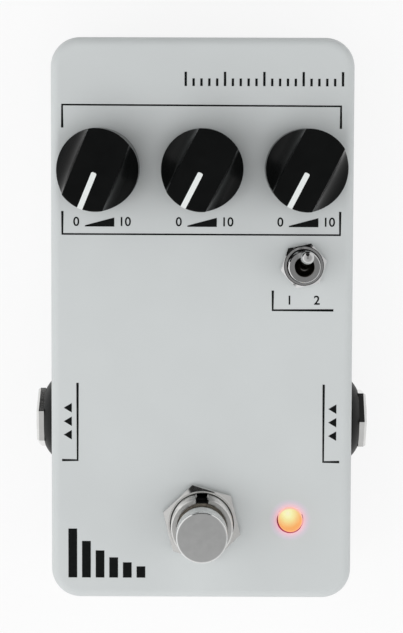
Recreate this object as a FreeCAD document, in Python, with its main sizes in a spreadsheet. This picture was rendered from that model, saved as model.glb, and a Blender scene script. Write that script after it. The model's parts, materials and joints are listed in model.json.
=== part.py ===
import FreeCAD, Part
import math
import os
import re
import Sketcher

# A compact tape-echo effects pedal in a small die-cast case.
# Millimetres and degrees. +X is the player's right, +Y points from the footswitch to the
# knobs, +Z is up. The origin is under the middle of the case, on the surface it stands on.

Vector = FreeCAD.Vector

SIZES = {
    # die-cast case
    "case_width": 60.5,
    "case_length": 112.4,
    "shell_height": 28.0,
    "corner_radius": 5.8,
    "draft_angle": 0.75,
    "face_fillet": 1.8,
    "wall": 2.2,
    "face_thickness": 2.3,
    "boss_radius": 3.8,
    "boss_inset": 4.9,
    # base plate, its screws and feet
    "plate_thickness": 3.0,
    "plate_edge_radius": 0.6,
    "lip_height": 1.4,
    "lip_width": 1.6,
    "lip_gap": 0.25,
    "screw_radius": 1.6,
    "screw_length": 10.0,
    "screw_head_radius": 3.1,
    "screw_head_depth": 1.7,
    "screw_head_recess": 0.2,
    "screw_gap": 0.06,
    "screw_cross_width": 0.8,
    "screw_cross_span": 3.2,
    "screw_cross_depth": 1.0,
    "foot_radius": 5.5,
    "foot_height": 2.0,
    "foot_edge": 0.5,
    "foot_inset": 12.0,
    # knobs
    "knobs_from_side": 10.05,
    "knobs_from_rear": 26.05,
    "knob_radius": 7.95,
    "knob_height": 11.6,
    "knob_gap": 0.9,
    "knob_skirt": 1.1,
    "knob_crown": 2.2,
    "knob_inner_gap": 0.5,
    "knob_edge": 0.35,
    "grip_width": 8.3,
    "scoop_drop": 6.2,
    "scoop_radius": 8.5,
    "mix_angle": 22.2,
    "speed_angle": 27.1,
    "repeats_angle": 27.3,
    "pointer_width": 1.05,
    "pointer_start": 0.55,
    "pointer_depth": 0.5,
    "pointer_drop": 5.0,
    "pointer_proud": 0.03,
    "pointer_corner": 0.3,
    # potentiometers
    "pot_width": 9.8,
    "pot_depth": 11.0,
    "pot_height": 6.8,
    "pot_floor": 1.4,
    "pot_bushing_radius": 3.45,
    "pot_bushing_length": 6.9,
    "pot_nut_flats": 10.0,
    "pot_nut_thickness": 2.0,
    "pot_washer_radius": 5.4,
    "pot_washer_thickness": 0.5,
    "pot_pin_radius": 0.45,
    "pot_pin_pitch": 2.5,
    "pot_pin_inset": 1.2,
    "shaft_radius": 3.0,
    "shaft_fit": 0.05,
    "thread_gap": 0.05,
    "hole_gap": 0.15,
    # toggle switch
    "toggle_from_side": 10.25,
    "toggle_from_knobs": 19.0,
    "toggle_width": 7.9,
    "toggle_depth": 13.0,
    "toggle_seat": 0.6,
    "toggle_bushing_radius": 3.13,
    "toggle_bushing_rise": 4.55,
    "toggle_bore": 1.95,
    "toggle_nut_flats": 8.0,
    "toggle_nut_thickness": 1.45,
    "toggle_nut_turn": 12.0,
    "toggle_washer_radius": 4.0,
    "toggle_washer_thickness": 0.4,
    "lever_tilt": 12.9,
    "lever_pivot_depth": 2.5,
    "lever_ball": 1.88,
    "lever_neck": 1.0,
    "lever_reach": 11.4,
    "lever_tip": 1.26,
    "lever_tail": 4.2,
    "lever_tail_radius": 0.7,
    "toggle_pin_radius": 0.6,
    "toggle_pin_pitch": 4.7,
    # footswitch
    "switch_x": 0.15,
    "switch_from_front": 15.97,
    "switch_width": 17.4,
    "switch_depth": 17.4,
    "switch_height": 16.0,
    "switch_bushing_radius": 6.1,
    "switch_bushing_rise": 5.6,
    "switch_mouth_radius": 5.35,
    "switch_mouth_depth": 2.5,
    "keyway_width": 2.3,
    "keyway_depth": 0.82,
    "switch_nut_flats": 13.8,
    "switch_nut_thickness": 2.1,
    "switch_nut_turn": 14.0,
    "inner_nut_thickness": 2.0,
    "plunger_radius": 4.95,
    "plunger_rise": 13.05,
    "plunger_cap": 4.45,
    "plunger_neck": 4.3,
    "plunger_sink": 1.0,
    "plunger_edge": 0.32,
    "plunger_fit": 0.06,
    "plunger_travel": 3.0,
    "stem_radius": 2.3,
    "stem_gap": 0.35,
    "spring_radius": 3.55,
    "spring_wire": 0.35,
    "spring_turns": 4.0,
    "lug_width": 2.0,
    "lug_thickness": 0.8,
    "lug_length": 2.3,
    "lug_pitch": 4.8,
    # indicator lamp
    "lamp_from_side": 12.55,
    "lamp_behind_switch": 0.41,
    "lamp_radius": 2.5,
    "lamp_rise": 2.1,
    "lamp_height": 8.6,
    "lamp_flange_radius": 2.9,
    "lamp_flange_height": 1.0,
    "lamp_lead_radius": 0.25,
    "lamp_lead_pitch": 2.54,
    "spacer_wall": 0.7,
    # phone jacks in the two side walls
    "jacks_from_front": 34.3,
    "jack_drop": 14.8,
    "jack_box": 15.6,
    "jack_length": 20.0,
    "jack_front": 2.0,
    "jack_chamber": 10.4,
    "sleeve_radius": 4.5,
    "sleeve_bore": 3.25,
    "sleeve_reach": 3.0,
    "sleeve_proud": 0.3,
    "collar_radius": 8.1,
    "collar_top_radius": 5.95,
    "collar_height": 2.0,
    "collar_edge": 0.4,
    "collar_curve": 7.0,
    "jack_nut_flats": 11.0,
    "jack_nut_thickness": 1.3,
    "input_nut_turn": 2.5,
    "output_nut_turn": 24.3,
    "leaf_width": 2.6,
    "leaf_thickness": 0.35,
    "leaf_height": 1.7,
    "leaf_spacing": 4.0,
    "leaf_step": 1.8,
    "leaf_kink": 3.0,
    "leaf_rest": 8.0,
    "leaf_end": 12.0,
    # power jack in the rear wall
    "power_x": 0.0,
    "power_width": 9.0,
    "power_height": 11.0,
    "power_depth": 12.0,
    "power_drop": 6.3,
    "power_nose_radius": 5.3,
    "power_nose_recess": 0.4,
    "power_bore": 3.1,
    "power_bore_depth": 10.0,
    "power_pin_radius": 1.0,
    "power_pin_recess": 0.8,
    "power_leaf_length": 6.0,
    # boards and what they carry
    "board_thickness": 1.6,
    "board_margin": 1.4,
    "board_jack_gap": 2.7,
    "board_boss_gap": 1.9,
    "board_rear_gap": 1.6,
    "pin_tail": 1.2,
    "switch_board_side": 3.3,
    "switch_board_rim": 0.45,
    "switch_board_shelf": 1.15,
    "lamp_board_rim": 3.7,
    "ribbon_width": 9.6,
    "ribbon_thickness": 0.9,
    "ribbon_inset": 3.0,
    "ribbon_bend": 3.0,
    "link_radius": 0.4,
    "chip_length": 18.0,
    "chip_width": 7.5,
    "chip_height": 2.5,
    "chip_inset": 6.7,
    "chip_x": -6.0,
    "regulator_length": 6.5,
    "regulator_height": 2.3,
    "regulator_x": -10.0,
    "regulator_gap": 2.5,
    "capacitor_radius": 2.5,
    "capacitor_height": 5.4,
    "capacitor_pitch": 6.6,
    "capacitor_inset": 4.6,
    "small_part_length": 2.0,
    "small_part_width": 1.25,
    "small_part_height": 0.7,
    "small_part_pitch": 4.0,
    "small_part_x": -5.0,
    "small_part_gap": 4.65,
}

# Places and lengths that follow from the sizes.
PLACES = {
    "shell_z": "foot_height + plate_thickness",
    "face_z": "shell_z + shell_height",
    "roof_z": "face_z - face_thickness",
    "room_height": "shell_height - face_thickness",
    "room_x": "case_width / 2 - wall",
    "room_y": "case_length / 2 - wall",
    "boss_x": "case_width / 2 - boss_inset",
    "boss_y": "case_length / 2 - boss_inset",
    "foot_x": "case_width / 2 - foot_inset",
    "foot_y": "case_length / 2 - foot_inset",
    "board_top": "roof_z - pot_height",
    "board_z": "board_top - board_thickness",
    "board_front": "jack_y + jack_box / 2 + board_jack_gap",
    "board_shoulder": "boss_y - boss_radius - board_boss_gap",
    "board_tongue": "room_y - board_rear_gap",
    "board_side": "room_x - board_margin",
    "knob_pitch": "case_width / 2 - knobs_from_side",
    "knob_row": "case_length / 2 - knobs_from_rear",
    "knob_z": "face_z + knob_gap",
    "knob_cavity": "roof_z + pot_bushing_length + knob_inner_gap - knob_z",
    "knob_bore_depth": "knob_height - knob_crown",
    "shaft_z": "board_top + pot_floor",
    "shaft_top": "knob_z + knob_bore_depth - shaft_fit",
    "toggle_x": "case_width / 2 - toggle_from_side",
    "toggle_y": "knob_row - toggle_from_knobs",
    "toggle_body_top": "roof_z - toggle_seat",
    "toggle_bushing_top": "face_z + toggle_bushing_rise",
    "toggle_pivot_z": "toggle_bushing_top - lever_pivot_depth",
    "switch_y": "switch_from_front - case_length / 2",
    "switch_top": "roof_z - inner_nut_thickness",
    "switch_z": "switch_top - switch_height",
    "switch_bushing_length": "face_z + switch_bushing_rise - switch_top",
    "guide_radius": "plunger_neck + plunger_fit",
    "plunger_top": "face_z + plunger_rise",
    "plunger_z": "face_z + plunger_sink",
    "stem_z": "switch_top - stem_gap",
    "switch_board_top": "switch_z - lug_length",
    "switch_board_z": "switch_board_top - board_thickness",
    "switch_board_left": "switch_x - switch_width / 2 - switch_board_side",
    "switch_board_right": "lamp_x + lamp_board_rim",
    "switch_board_front": "switch_y - switch_depth / 2 - switch_board_rim",
    "switch_board_rear": "switch_y + switch_depth / 2 + switch_board_shelf",
    "lamp_x": "case_width / 2 - lamp_from_side",
    "lamp_y": "switch_y + lamp_behind_switch",
    "lamp_z": "face_z + lamp_rise - lamp_height",
    "jack_y": "jacks_from_front - case_length / 2",
    "jack_z": "face_z - jack_drop",
    "jack_seat": "case_width / 2 - (jack_z - collar_radius - shell_z) * tan(draft_angle)",
    "jack_mid": "room_x - jack_length / 2",
    "jack_end": "room_x - jack_length",
    "sleeve_end": "room_x - jack_front - sleeve_reach",
    "leaf_roof": "jack_z + jack_chamber / 2",
    "tip_leaf_y": "jack_y - leaf_spacing / 2",
    "sleeve_leaf_y": "jack_y + leaf_spacing / 2",
    "power_z": "board_z - power_drop",
    "power_face": "case_length / 2 - (power_z + power_nose_radius - shell_z) * tan(draft_angle)"
                  " - power_nose_recess",
    "power_pin_end": "power_face - power_pin_recess",
    "power_bore_end": "power_face - power_bore_depth",
    "ribbon_start": "board_front + ribbon_inset",
    "ribbon_z": "switch_board_z + (board_thickness - ribbon_thickness) / 2",
    "chip_y": "board_front + chip_inset",
    "regulator_y": "chip_y + (chip_width + regulator_length) / 2 + regulator_gap",
    "capacitor_x": "capacitor_inset - board_side",
    "small_part_y": "knob_row - (pot_depth + small_part_width) / 2 - small_part_gap",
}

ROLES = {"xy": "XY_Plane", "xz": "XZ_Plane", "yz": "YZ_Plane"}
TURNS = {
    "x": FreeCAD.Rotation(Vector(0, 0, 1), Vector(1, 0, 0)),
    "y": FreeCAD.Rotation(Vector(0, 0, 1), Vector(0, 1, 0)),
    "z": FreeCAD.Rotation(),
}
ACROSS = Vector(1, 0, 0)
ALONG = Vector(0, 1, 0)

doc = FreeCAD.newDocument("echo_pedal")
sheet = doc.addObject("Spreadsheet::Sheet", "sizes")
for row, (alias, number) in enumerate(SIZES.items(), start=1):
    sheet.set(f"A{row}", str(number))
    sheet.setAlias(f"A{row}", alias)
doc.recompute()

pieces = []


# ---------------------------------------------------------------- expressions and placing

def resolve(expression):
    """Spell names of sizes and places out for the expression engine."""
    def spell(match):
        word = match.group(0)
        if word in PLACES:
            return "(" + resolve(PLACES[word]) + ")"
        if word in SIZES:
            return "sizes." + word
        return word
    return re.sub(r"[a-z]\w*", spell, expression)


def value(expression):
    """The number that an expression stands for."""
    return float(sheet.evalExpression(resolve(expression)))


def bind(feature, **expressions):
    """Bind properties of a feature to expressions."""
    for name, expression in expressions.items():
        feature.setExpression(name, resolve(expression))


def place(feature, x="0", y="0", z="0"):
    """Bind the place of a feature and keep its turn."""
    for axis, expression in (("x", x), ("y", y), ("z", z)):
        feature.setExpression(f"Placement.Base.{axis}", resolve(expression))


def turn(feature, axis, angle):
    """Turn a feature about an axis through its own origin."""
    feature.Placement = FreeCAD.Placement(Vector(), FreeCAD.Rotation(axis, value(angle)))
    feature.setExpression("Placement.Rotation.Angle", resolve(angle))


def piece(feature, label):
    """Name a finished piece and keep it for writing."""
    feature.Label = label
    pieces.append(feature)
    return feature


# ---------------------------------------------------------------- sketches

def sketch_on(owner, plane, lift="0"):
    """A sketch on one of the body's own planes, lifted along the plane's normal."""
    sketch = owner.newObject("Sketcher::SketchObject", owner.Name + "_sketch")
    role = ROLES[plane]
    base = [item for item in owner.Origin.OriginFeatures if item.Role == role][0]
    sketch.AttachmentSupport = [(base, "")]
    sketch.MapMode = "FlatFace"
    sketch.setExpression("AttachmentOffset.Base.z", resolve(lift))
    return sketch


def dimension(sketch, kind, *where, size):
    """Add a dimension to a sketch and bind it."""
    index = sketch.addConstraint(Sketcher.Constraint(kind, *where, value(size)))
    name = f"{kind}_{index}"
    sketch.renameConstraint(index, name)
    sketch.setExpression(f"Constraints.{name}", resolve(size))


def arc_between(start, finish, radius):
    """An arc from start to finish; a positive radius bulges to the right of the way."""
    chord = finish - start
    middle = (start + finish) / 2
    right = Vector(chord.y, -chord.x, 0).normalize()
    inset = math.sqrt(radius ** 2 - (chord.Length / 2) ** 2)
    bulge = math.copysign(abs(radius) - inset, radius)
    return Part.Arc(start, middle + right * bulge, finish)


def outline(sketch, corners, arcs=None):
    """Draw a closed outline; arcs gives the radius of the side that starts at a corner."""
    arcs = arcs or {}
    points = [Vector(value(x), value(y), 0) for x, y in corners]
    sides = []
    for number, start in enumerate(points):
        finish = points[(number + 1) % len(points)]
        if number in arcs:
            curve = arc_between(start, finish, value(arcs[number]))
            side = sketch.addGeometry(curve, False)
            dimension(sketch, "Radius", side, size=f"abs({arcs[number]})")
        else:
            side = sketch.addGeometry(Part.LineSegment(start, finish), False)
        near = sketch.getPoint(side, 1).distanceToPoint(start)
        far = sketch.getPoint(side, 2).distanceToPoint(start)
        first = 1 if near < far else 2
        sides.append((side, first, 3 - first))
    for number, (side, first, last) in enumerate(sides):
        after, after_first, _ = sides[(number + 1) % len(sides)]
        sketch.addConstraint(Sketcher.Constraint("Coincident", side, last, after, after_first))
        dimension(sketch, "DistanceX", -1, 1, side, first, size=corners[number][0])
        dimension(sketch, "DistanceY", -1, 1, side, first, size=corners[number][1])


def rectangle(sketch, left, right, low, high):
    outline(sketch, [(left, low), (right, low), (right, high), (left, high)])


def circle(sketch, radius, x="0", y="0"):
    ring = sketch.addGeometry(Part.Circle(Vector(value(x), value(y), 0), Vector(0, 0, 1),
                                          value(radius)), False)
    dimension(sketch, "Radius", ring, size=radius)
    dimension(sketch, "DistanceX", -1, 1, ring, 3, size=x)
    dimension(sketch, "DistanceY", -1, 1, ring, 3, size=y)


# ---------------------------------------------------------------- body features

def new_body(name):
    return doc.addObject("PartDesign::Body", name)


def pad(owner, sketch, length, taper="0", both_ways=False):
    feature = owner.newObject("PartDesign::Pad", owner.Name + "_pad")
    feature.Profile = sketch
    feature.Midplane = both_ways
    bind(feature, Length=length, TaperAngle=taper)
    doc.recompute()
    return feature


def pocket(owner, sketch, length=None, reverse=False, both_ways=False):
    """Cut a sketch away, to a depth or right through, and make sure it cut something."""
    before = owner.Shape.Volume
    feature = owner.newObject("PartDesign::Pocket", owner.Name + "_pocket")
    feature.Profile = sketch
    feature.Reversed = reverse
    feature.Midplane = both_ways
    if length is None:
        feature.Type = "ThroughAll"
    else:
        bind(feature, Length=length)
    doc.recompute()
    if owner.Shape.Volume >= before:
        raise ValueError(f"{feature.Name} cut nothing")
    return feature


def revolve(owner, sketch, kind="PartDesign::Revolution"):
    feature = owner.newObject(kind, owner.Name + "_revolve")
    feature.Profile = sketch
    feature.ReferenceAxis = (sketch, ["V_Axis"])
    feature.Angle = 360
    doc.recompute()
    return feature


def round_edges(owner, radius, wanted):
    """Fillet the edges of a body that a test picks out."""
    base = owner.Tip
    names = [f"Edge{number}" for number, edge in enumerate(base.Shape.Edges, start=1)
             if wanted(edge)]
    feature = owner.newObject("PartDesign::Fillet", owner.Name + "_fillet")
    feature.Base = (base, names)
    bind(feature, Radius=radius)
    doc.recompute()
    return feature


def upright(edge):
    return abs(edge.tangentAt(edge.FirstParameter).z) > 0.9


def turned(name, corners, arcs=None):
    """A body of revolution about Z from corners given as radius and height."""
    owner = new_body(name)
    sketch = sketch_on(owner, "xz")
    outline(sketch, corners, arcs)
    revolve(owner, sketch)
    return owner


def tube(name, outer, inner, low, high):
    return turned(name, [(inner, low), (outer, low), (outer, high), (inner, high)])


def hex_nut(name, flats, thickness, hole, spin="0"):
    """A hexagon nut with both faces chamfered, standing on z = 0."""
    owner = new_body(name)
    sketch = sketch_on(owner, "xy")
    corner = f"{flats} / sqrt(3)"
    outline(sketch, [(f"{corner} * cos({60 * k} + {spin})", f"{corner} * sin({60 * k} + {spin})")
                     for k in range(6)])
    circle(sketch, hole)
    pad(owner, sketch, thickness)
    inner = f"{flats} / 2"
    outer = f"{corner} + 1"
    drop = f"({corner} + 1 - {flats} / 2) * tan(25)"
    for base, step in (("0", f"0 + {drop}"), (thickness, f"{thickness} - {drop}")):
        chamfer = sketch_on(owner, "xz")
        outline(chamfer, [(inner, base), (outer, base), (outer, step)])
        revolve(owner, chamfer, "PartDesign::Groove")
    return owner


# ---------------------------------------------------------------- primitives

def box(name, length, width, height, x="0", y="0", z="0"):
    """A block centred on x and y and standing on z."""
    feature = doc.addObject("Part::Box", name)
    bind(feature, Length=length, Width=width, Height=height)
    place(feature, f"({x}) - ({length}) / 2", f"({y}) - ({width}) / 2", z)
    return feature


def rod(name, radius, height, x="0", y="0", z="0", axis="z"):
    """A round bar that starts at x, y, z and runs along an axis."""
    feature = doc.addObject("Part::Cylinder", name)
    feature.Placement = FreeCAD.Placement(Vector(), TURNS[axis])
    bind(feature, Radius=radius, Height=height)
    place(feature, x, y, z)
    return feature


def cut(name, base, tool):
    feature = doc.addObject("Part::Cut", name)
    feature.Base = base
    feature.Tool = tool
    return feature


def group(name, members):
    """Several solids as one piece; those that touch become one solid."""
    feature = doc.addObject("Part::MultiFuse", name)
    feature.Shapes = members
    return feature


def mirrored(name, source, normal):
    feature = doc.addObject("Part::Mirroring", name)
    feature.Source = source
    feature.Normal = normal
    return feature


def four_corners(name, source):
    """Copies of a piece at the four corners of the case."""
    pair = group(name + "_pair", [source, mirrored(name + "_left", source, ACROSS)])
    return group(name, [pair, mirrored(name + "_front", pair, ALONG)])


# ---------------------------------------------------------------- case

def screw_form(name, gap, below, beyond):
    """A countersunk screw, or with a gap round it the space that it needs."""
    head = f"screw_head_radius + {gap}"
    shank = f"screw_radius + {gap}"
    return turned(name, [("0", f"-{below}"), (head, f"-{below}"), (head, "0.3"),
                         (shank, "screw_head_depth"), (shank, f"screw_length + {beyond}"),
                         ("0", f"screw_length + {beyond}")])


def lid_screws():
    screw = screw_form("lid_screw", "0", "0", "0")
    for wide, long in (("screw_cross_width", "screw_cross_span"),
                       ("screw_cross_span", "screw_cross_width")):
        sketch = sketch_on(screw, "xy")
        rectangle(sketch, f"-{wide} / 2", f"{wide} / 2", f"-{long} / 2", f"{long} / 2")
        pocket(screw, sketch, "screw_cross_depth", reverse=True)
    place(screw, "boss_x", "boss_y", "foot_height + screw_head_recess")
    return four_corners("lid_screw_set", screw)


def screw_room():
    """The room that the four lid screws need in the base plate and the case."""
    room = screw_form("screw_room", "screw_gap", "1", "1")
    place(room, "boss_x", "boss_y", "foot_height + screw_head_recess")
    return four_corners("screw_room_set", room)


def enclosure(room):
    shell = new_body("shell")
    footprint = sketch_on(shell, "xy")
    rectangle(footprint, "-case_width / 2", "case_width / 2",
              "-case_length / 2", "case_length / 2")
    pad(shell, footprint, "shell_height", taper="-draft_angle")
    round_edges(shell, "corner_radius", upright)
    top = value("shell_height")
    round_edges(shell, "face_fillet", lambda edge: edge.BoundBox.ZMin > top - 0.01)

    hollow = sketch_on(shell, "xy")
    rectangle(hollow, "-room_x", "room_x", "-room_y", "room_y")
    pocket(shell, hollow, "room_height", reverse=True)
    side = value("room_x")
    round_edges(shell, "corner_radius - wall",
                lambda edge: upright(edge) and abs(abs(edge.BoundBox.XMin) - side) < 0.01)

    bosses = sketch_on(shell, "xy")
    for x in ("boss_x", "-boss_x"):
        for y in ("boss_y", "-boss_y"):
            circle(bosses, "boss_radius", x, y)
    pad(shell, bosses, "room_height")

    face_holes = sketch_on(shell, "xy")
    for x in ("-knob_pitch", "0", "knob_pitch"):
        circle(face_holes, "pot_bushing_radius + hole_gap", x, "knob_row")
    circle(face_holes, "toggle_bushing_radius + hole_gap", "toggle_x", "toggle_y")
    circle(face_holes, "switch_bushing_radius + hole_gap", "switch_x", "switch_y")
    circle(face_holes, "lamp_radius + hole_gap", "lamp_x", "lamp_y")
    pocket(shell, face_holes, reverse=True)

    side_holes = sketch_on(shell, "yz")
    circle(side_holes, "sleeve_radius + hole_gap", "jack_y", "jack_z - shell_z")
    pocket(shell, side_holes, both_ways=True)

    rear_hole = sketch_on(shell, "xz")
    circle(rear_hole, "power_nose_radius + hole_gap", "power_x", "power_z - shell_z")
    pocket(shell, rear_hole)

    place(shell, z="shell_z")
    return cut("enclosure_cut", shell, room)


def base_plate(room):
    plate = new_body("plate")
    footprint = sketch_on(plate, "xy")
    rectangle(footprint, "-case_width / 2", "case_width / 2",
              "-case_length / 2", "case_length / 2")
    pad(plate, footprint, "plate_thickness")
    round_edges(plate, "corner_radius", upright)
    round_edges(plate, "plate_edge_radius", lambda edge: edge.BoundBox.ZMax < 0.01)

    lip = sketch_on(plate, "xy")
    outer_x = "room_x - lip_gap"
    outer_y = "room_y - lip_gap"
    rectangle(lip, f"-({outer_x})", outer_x, f"-({outer_y})", outer_y)
    inner_x = "room_x - lip_gap - lip_width"
    inner_y = "room_y - lip_gap - lip_width"
    rectangle(lip, f"-({inner_x})", inner_x, f"-({inner_y})", inner_y)
    pad(plate, lip, "plate_thickness + lip_height")

    notches = sketch_on(plate, "xy", lift="plate_thickness")
    for x in ("boss_x", "-boss_x"):
        for y in ("boss_y", "-boss_y"):
            circle(notches, "boss_radius + lip_gap", x, y)
    pocket(plate, notches, reverse=True)
    place(plate, z="foot_height")
    return cut("base_plate_cut", plate, room)


def rubber_feet():
    foot = turned("foot", [("0", "0"), ("foot_radius - foot_edge", "0"),
                           ("foot_radius", "foot_edge"), ("foot_radius", "foot_height"),
                           ("0", "foot_height")],
                  arcs={1: "foot_edge"})
    place(foot, "foot_x", "foot_y", "0")
    return four_corners("foot_set", foot)


# ---------------------------------------------------------------- knobs and potentiometers

def pointer_corners():
    """The side view of the inlaid line: along the crown and down the side."""
    rim = "-(knob_radius)"
    return [("-pointer_start", "knob_height - pointer_depth"),
            ("-pointer_start", "knob_height + pointer_proud"),
            (rim, "knob_height + pointer_proud"),
            (rim, "knob_height - pointer_drop"),
            ("-(knob_radius - pointer_depth)", "knob_height - pointer_drop"),
            ("-(knob_radius - pointer_depth)", "knob_height - pointer_depth")]


def round_inner_end(body):
    """Round the upright corners where the inlaid line starts, near the middle of the crown."""
    start = value("pointer_start")
    side = value("pointer_width / 2")
    round_edges(body, "pointer_corner",
                lambda edge: (upright(edge) and abs(edge.CenterOfMass.y + start) < 0.01
                              and abs(abs(edge.CenterOfMass.x) - side) < 0.01))


def set_on_pot(body, x, angle):
    turn(body, Vector(0, 0, -1), angle)
    place(body, x, "knob_row", "knob_z")


def knob(name, x, angle):
    """A round knob with both sides scooped away beside a flat grip bar."""
    body = turned(name + "_body", [("shaft_radius + shaft_fit", "knob_cavity"),
                                   ("knob_radius - knob_skirt", "knob_cavity"),
                                   ("knob_radius - knob_skirt", "0"),
                                   ("knob_radius", "0"),
                                   ("knob_radius", "knob_height"),
                                   ("0", "knob_height"),
                                   ("0", "knob_bore_depth"),
                                   ("shaft_radius + shaft_fit", "knob_bore_depth")])
    scoops = sketch_on(body, "xz")
    edge = "grip_width / 2"
    out = "knob_radius + 0.2"
    for side, bend in (("", "-scoop_radius"), ("-", "scoop_radius")):
        outline(scoops, [(f"{side}({edge})", "knob_height + 1"),
                         (f"{side}({edge})", "knob_height"),
                         (f"{side}({out})", "knob_height - scoop_drop"),
                         (f"{side}({out})", "knob_height + 1")],
                arcs={1: f"-({bend})"})
    pocket(body, scoops, both_ways=True)
    low = value("knob_height - scoop_drop") - 0.5
    floor = value("knob_cavity") + 0.2
    reach = value("knob_radius") - 1.0

    def outer(box_of_edge):
        return max(box_of_edge.XMax, -box_of_edge.XMin, box_of_edge.YMax, -box_of_edge.YMin) > reach
    round_edges(body, "knob_edge",
                lambda rim: rim.BoundBox.ZMin > max(low, floor) and outer(rim.BoundBox))
    groove = sketch_on(body, "yz")
    outline(groove, pointer_corners())
    feature = pocket(body, groove, "pointer_width", both_ways=True)
    feature.Refine = True
    round_inner_end(body)
    set_on_pot(body, x, angle)
    return body


def pointer(name, x, angle):
    body = new_body(name + "_body")
    sketch = sketch_on(body, "yz")
    outline(sketch, pointer_corners())
    pad(body, sketch, "pointer_width", both_ways=True)
    round_inner_end(body)
    set_on_pot(body, x, angle)
    return body


def pot_body(name, x):
    case = box(name + "_case", "pot_width", "pot_depth", "pot_height", x, "knob_row", "board_top")
    well = rod(name + "_well", "shaft_radius + shaft_fit", "pot_height", x, "knob_row", "shaft_z")
    return cut(name + "_cut", case, well)


def pot_shaft(name, x):
    return rod(name, "shaft_radius", "shaft_top - shaft_z", x, "knob_row", "shaft_z")


def pot_pin_set(name, gap):
    """Three pins for each potentiometer, through the board."""
    pins = []
    for x in ("-knob_pitch", "0", "knob_pitch"):
        for step in (-1, 0, 1):
            pins.append(rod(name, f"pot_pin_radius + {gap}", "board_thickness + pin_tail",
                            f"{x} + {step} * pot_pin_pitch",
                            "knob_row - pot_depth / 2 + pot_pin_inset",
                            "board_top - board_thickness - pin_tail"))
    return group(name + "_set", pins)


def one_per_pot(name, make, z):
    """Three like pieces, one on each potentiometer."""
    copies = []
    for x in ("-knob_pitch", "0", "knob_pitch"):
        copy = make(name)
        place(copy, x, "knob_row", z)
        copies.append(copy)
    return group(name + "_set", copies)


def pot_bushing(name):
    return tube(name, "pot_bushing_radius", "shaft_radius + shaft_fit", "0", "pot_bushing_length")


def pot_washer(name):
    return tube(name, "pot_washer_radius", "pot_bushing_radius + thread_gap",
                "0", "pot_washer_thickness")


def pot_nut(name):
    return hex_nut(name, "pot_nut_flats", "pot_nut_thickness", "pot_bushing_radius + thread_gap")


# ---------------------------------------------------------------- toggle switch

def at_toggle(body, z):
    place(body, "toggle_x", "toggle_y", z)
    return body


def toggle_body():
    return box("toggle_block", "toggle_width", "toggle_depth", "toggle_body_top - board_top",
               "toggle_x", "toggle_y", "board_top")


def toggle_bushing():
    length = "toggle_bushing_top - toggle_body_top"
    return at_toggle(tube("toggle_tube", "toggle_bushing_radius", "toggle_bore", "0", length),
                     "toggle_body_top")


def toggle_lever():
    """A bat lever about its pivot ball, leaning towards the knobs."""
    ball = "lever_ball"
    neck_z = "sqrt(lever_ball ^ 2 - lever_neck ^ 2)"
    tail_z = "-sqrt(lever_ball ^ 2 - lever_tail_radius ^ 2)"
    tip_z = "lever_reach"
    corners = [("0", "-lever_tail"), ("lever_tail_radius", "-lever_tail"),
               ("lever_tail_radius", tail_z), ("lever_neck", neck_z), ("lever_tip", tip_z),
               ("0", "lever_reach + lever_tip")]
    lever = turned("lever", corners, arcs={2: ball, 4: "lever_tip"})
    turn(lever, Vector(-1, 0, 0), "lever_tilt")
    place(lever, "toggle_x", "toggle_y", "toggle_pivot_z")
    return lever


def toggle_nut():
    nut = hex_nut("toggle_hexagon", "toggle_nut_flats", "toggle_nut_thickness",
                  "toggle_bushing_radius + thread_gap", "toggle_nut_turn")
    return at_toggle(nut, "face_z + toggle_washer_thickness")


def toggle_washer():
    washer = tube("toggle_ring", "toggle_washer_radius", "toggle_bushing_radius + thread_gap",
                  "0", "toggle_washer_thickness")
    return at_toggle(washer, "face_z")


def toggle_seat_washer():
    washer = tube("toggle_seat_ring", "toggle_washer_radius",
                  "toggle_bushing_radius + thread_gap", "0", "toggle_seat")
    return at_toggle(washer, "toggle_body_top")


def toggle_pin_set(name, gap):
    """Three pins in a line, through the board."""
    pins = [rod(name, f"toggle_pin_radius + {gap}", "board_thickness + pin_tail",
                "toggle_x", f"toggle_y + {step} * toggle_pin_pitch",
                "board_top - board_thickness - pin_tail")
            for step in (-1, 0, 1)]
    return group(name + "_set", pins)


# ---------------------------------------------------------------- footswitch

def at_switch(body, z):
    place(body, "switch_x", "switch_y", z)
    return body


def footswitch_body():
    """The switch case, with a well that the stem sinks into."""
    block = box("switch_block", "switch_width", "switch_depth", "switch_height",
                "switch_x", "switch_y", "switch_z")
    depth = "stem_gap + plunger_travel + 1"
    well = rod("switch_well", "stem_radius + stem_gap", f"{depth} + 1", "switch_x", "switch_y",
               f"switch_top - ({depth})")
    return cut("switch_block_cut", block, well)


def footswitch_bushing():
    """The threaded collar, wide at its mouth, with a keyway towards the knobs."""
    top = "switch_bushing_length"
    step = "switch_bushing_length - switch_mouth_depth"
    collar = turned("switch_collar", [("guide_radius", "0"), ("switch_bushing_radius", "0"),
                                      ("switch_bushing_radius", top),
                                      ("switch_mouth_radius", top),
                                      ("switch_mouth_radius", step), ("guide_radius", step)])
    keyway = sketch_on(collar, "xy")
    rectangle(keyway, "-keyway_width / 2", "keyway_width / 2",
              "switch_bushing_radius - keyway_depth", "switch_bushing_radius + 1")
    pocket(collar, keyway, reverse=True)
    return at_switch(collar, "switch_top")


def footswitch_plunger():
    """A round cap on a neck that slides in the collar, with a thin stem into the switch."""
    height = "plunger_top - plunger_z"
    under = f"{height} - plunger_cap"
    stem = "-(plunger_z - stem_z)"
    plunger = turned("plunger", [("0", stem), ("stem_radius", stem), ("stem_radius", "0"),
                                 ("plunger_neck", "0"), ("plunger_neck", under),
                                 ("plunger_radius", under),
                                 ("plunger_radius", f"{height} - plunger_edge"),
                                 ("plunger_radius - plunger_edge", height), ("0", height)],
                     arcs={6: "plunger_edge"})
    return at_switch(plunger, "plunger_z")


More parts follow.
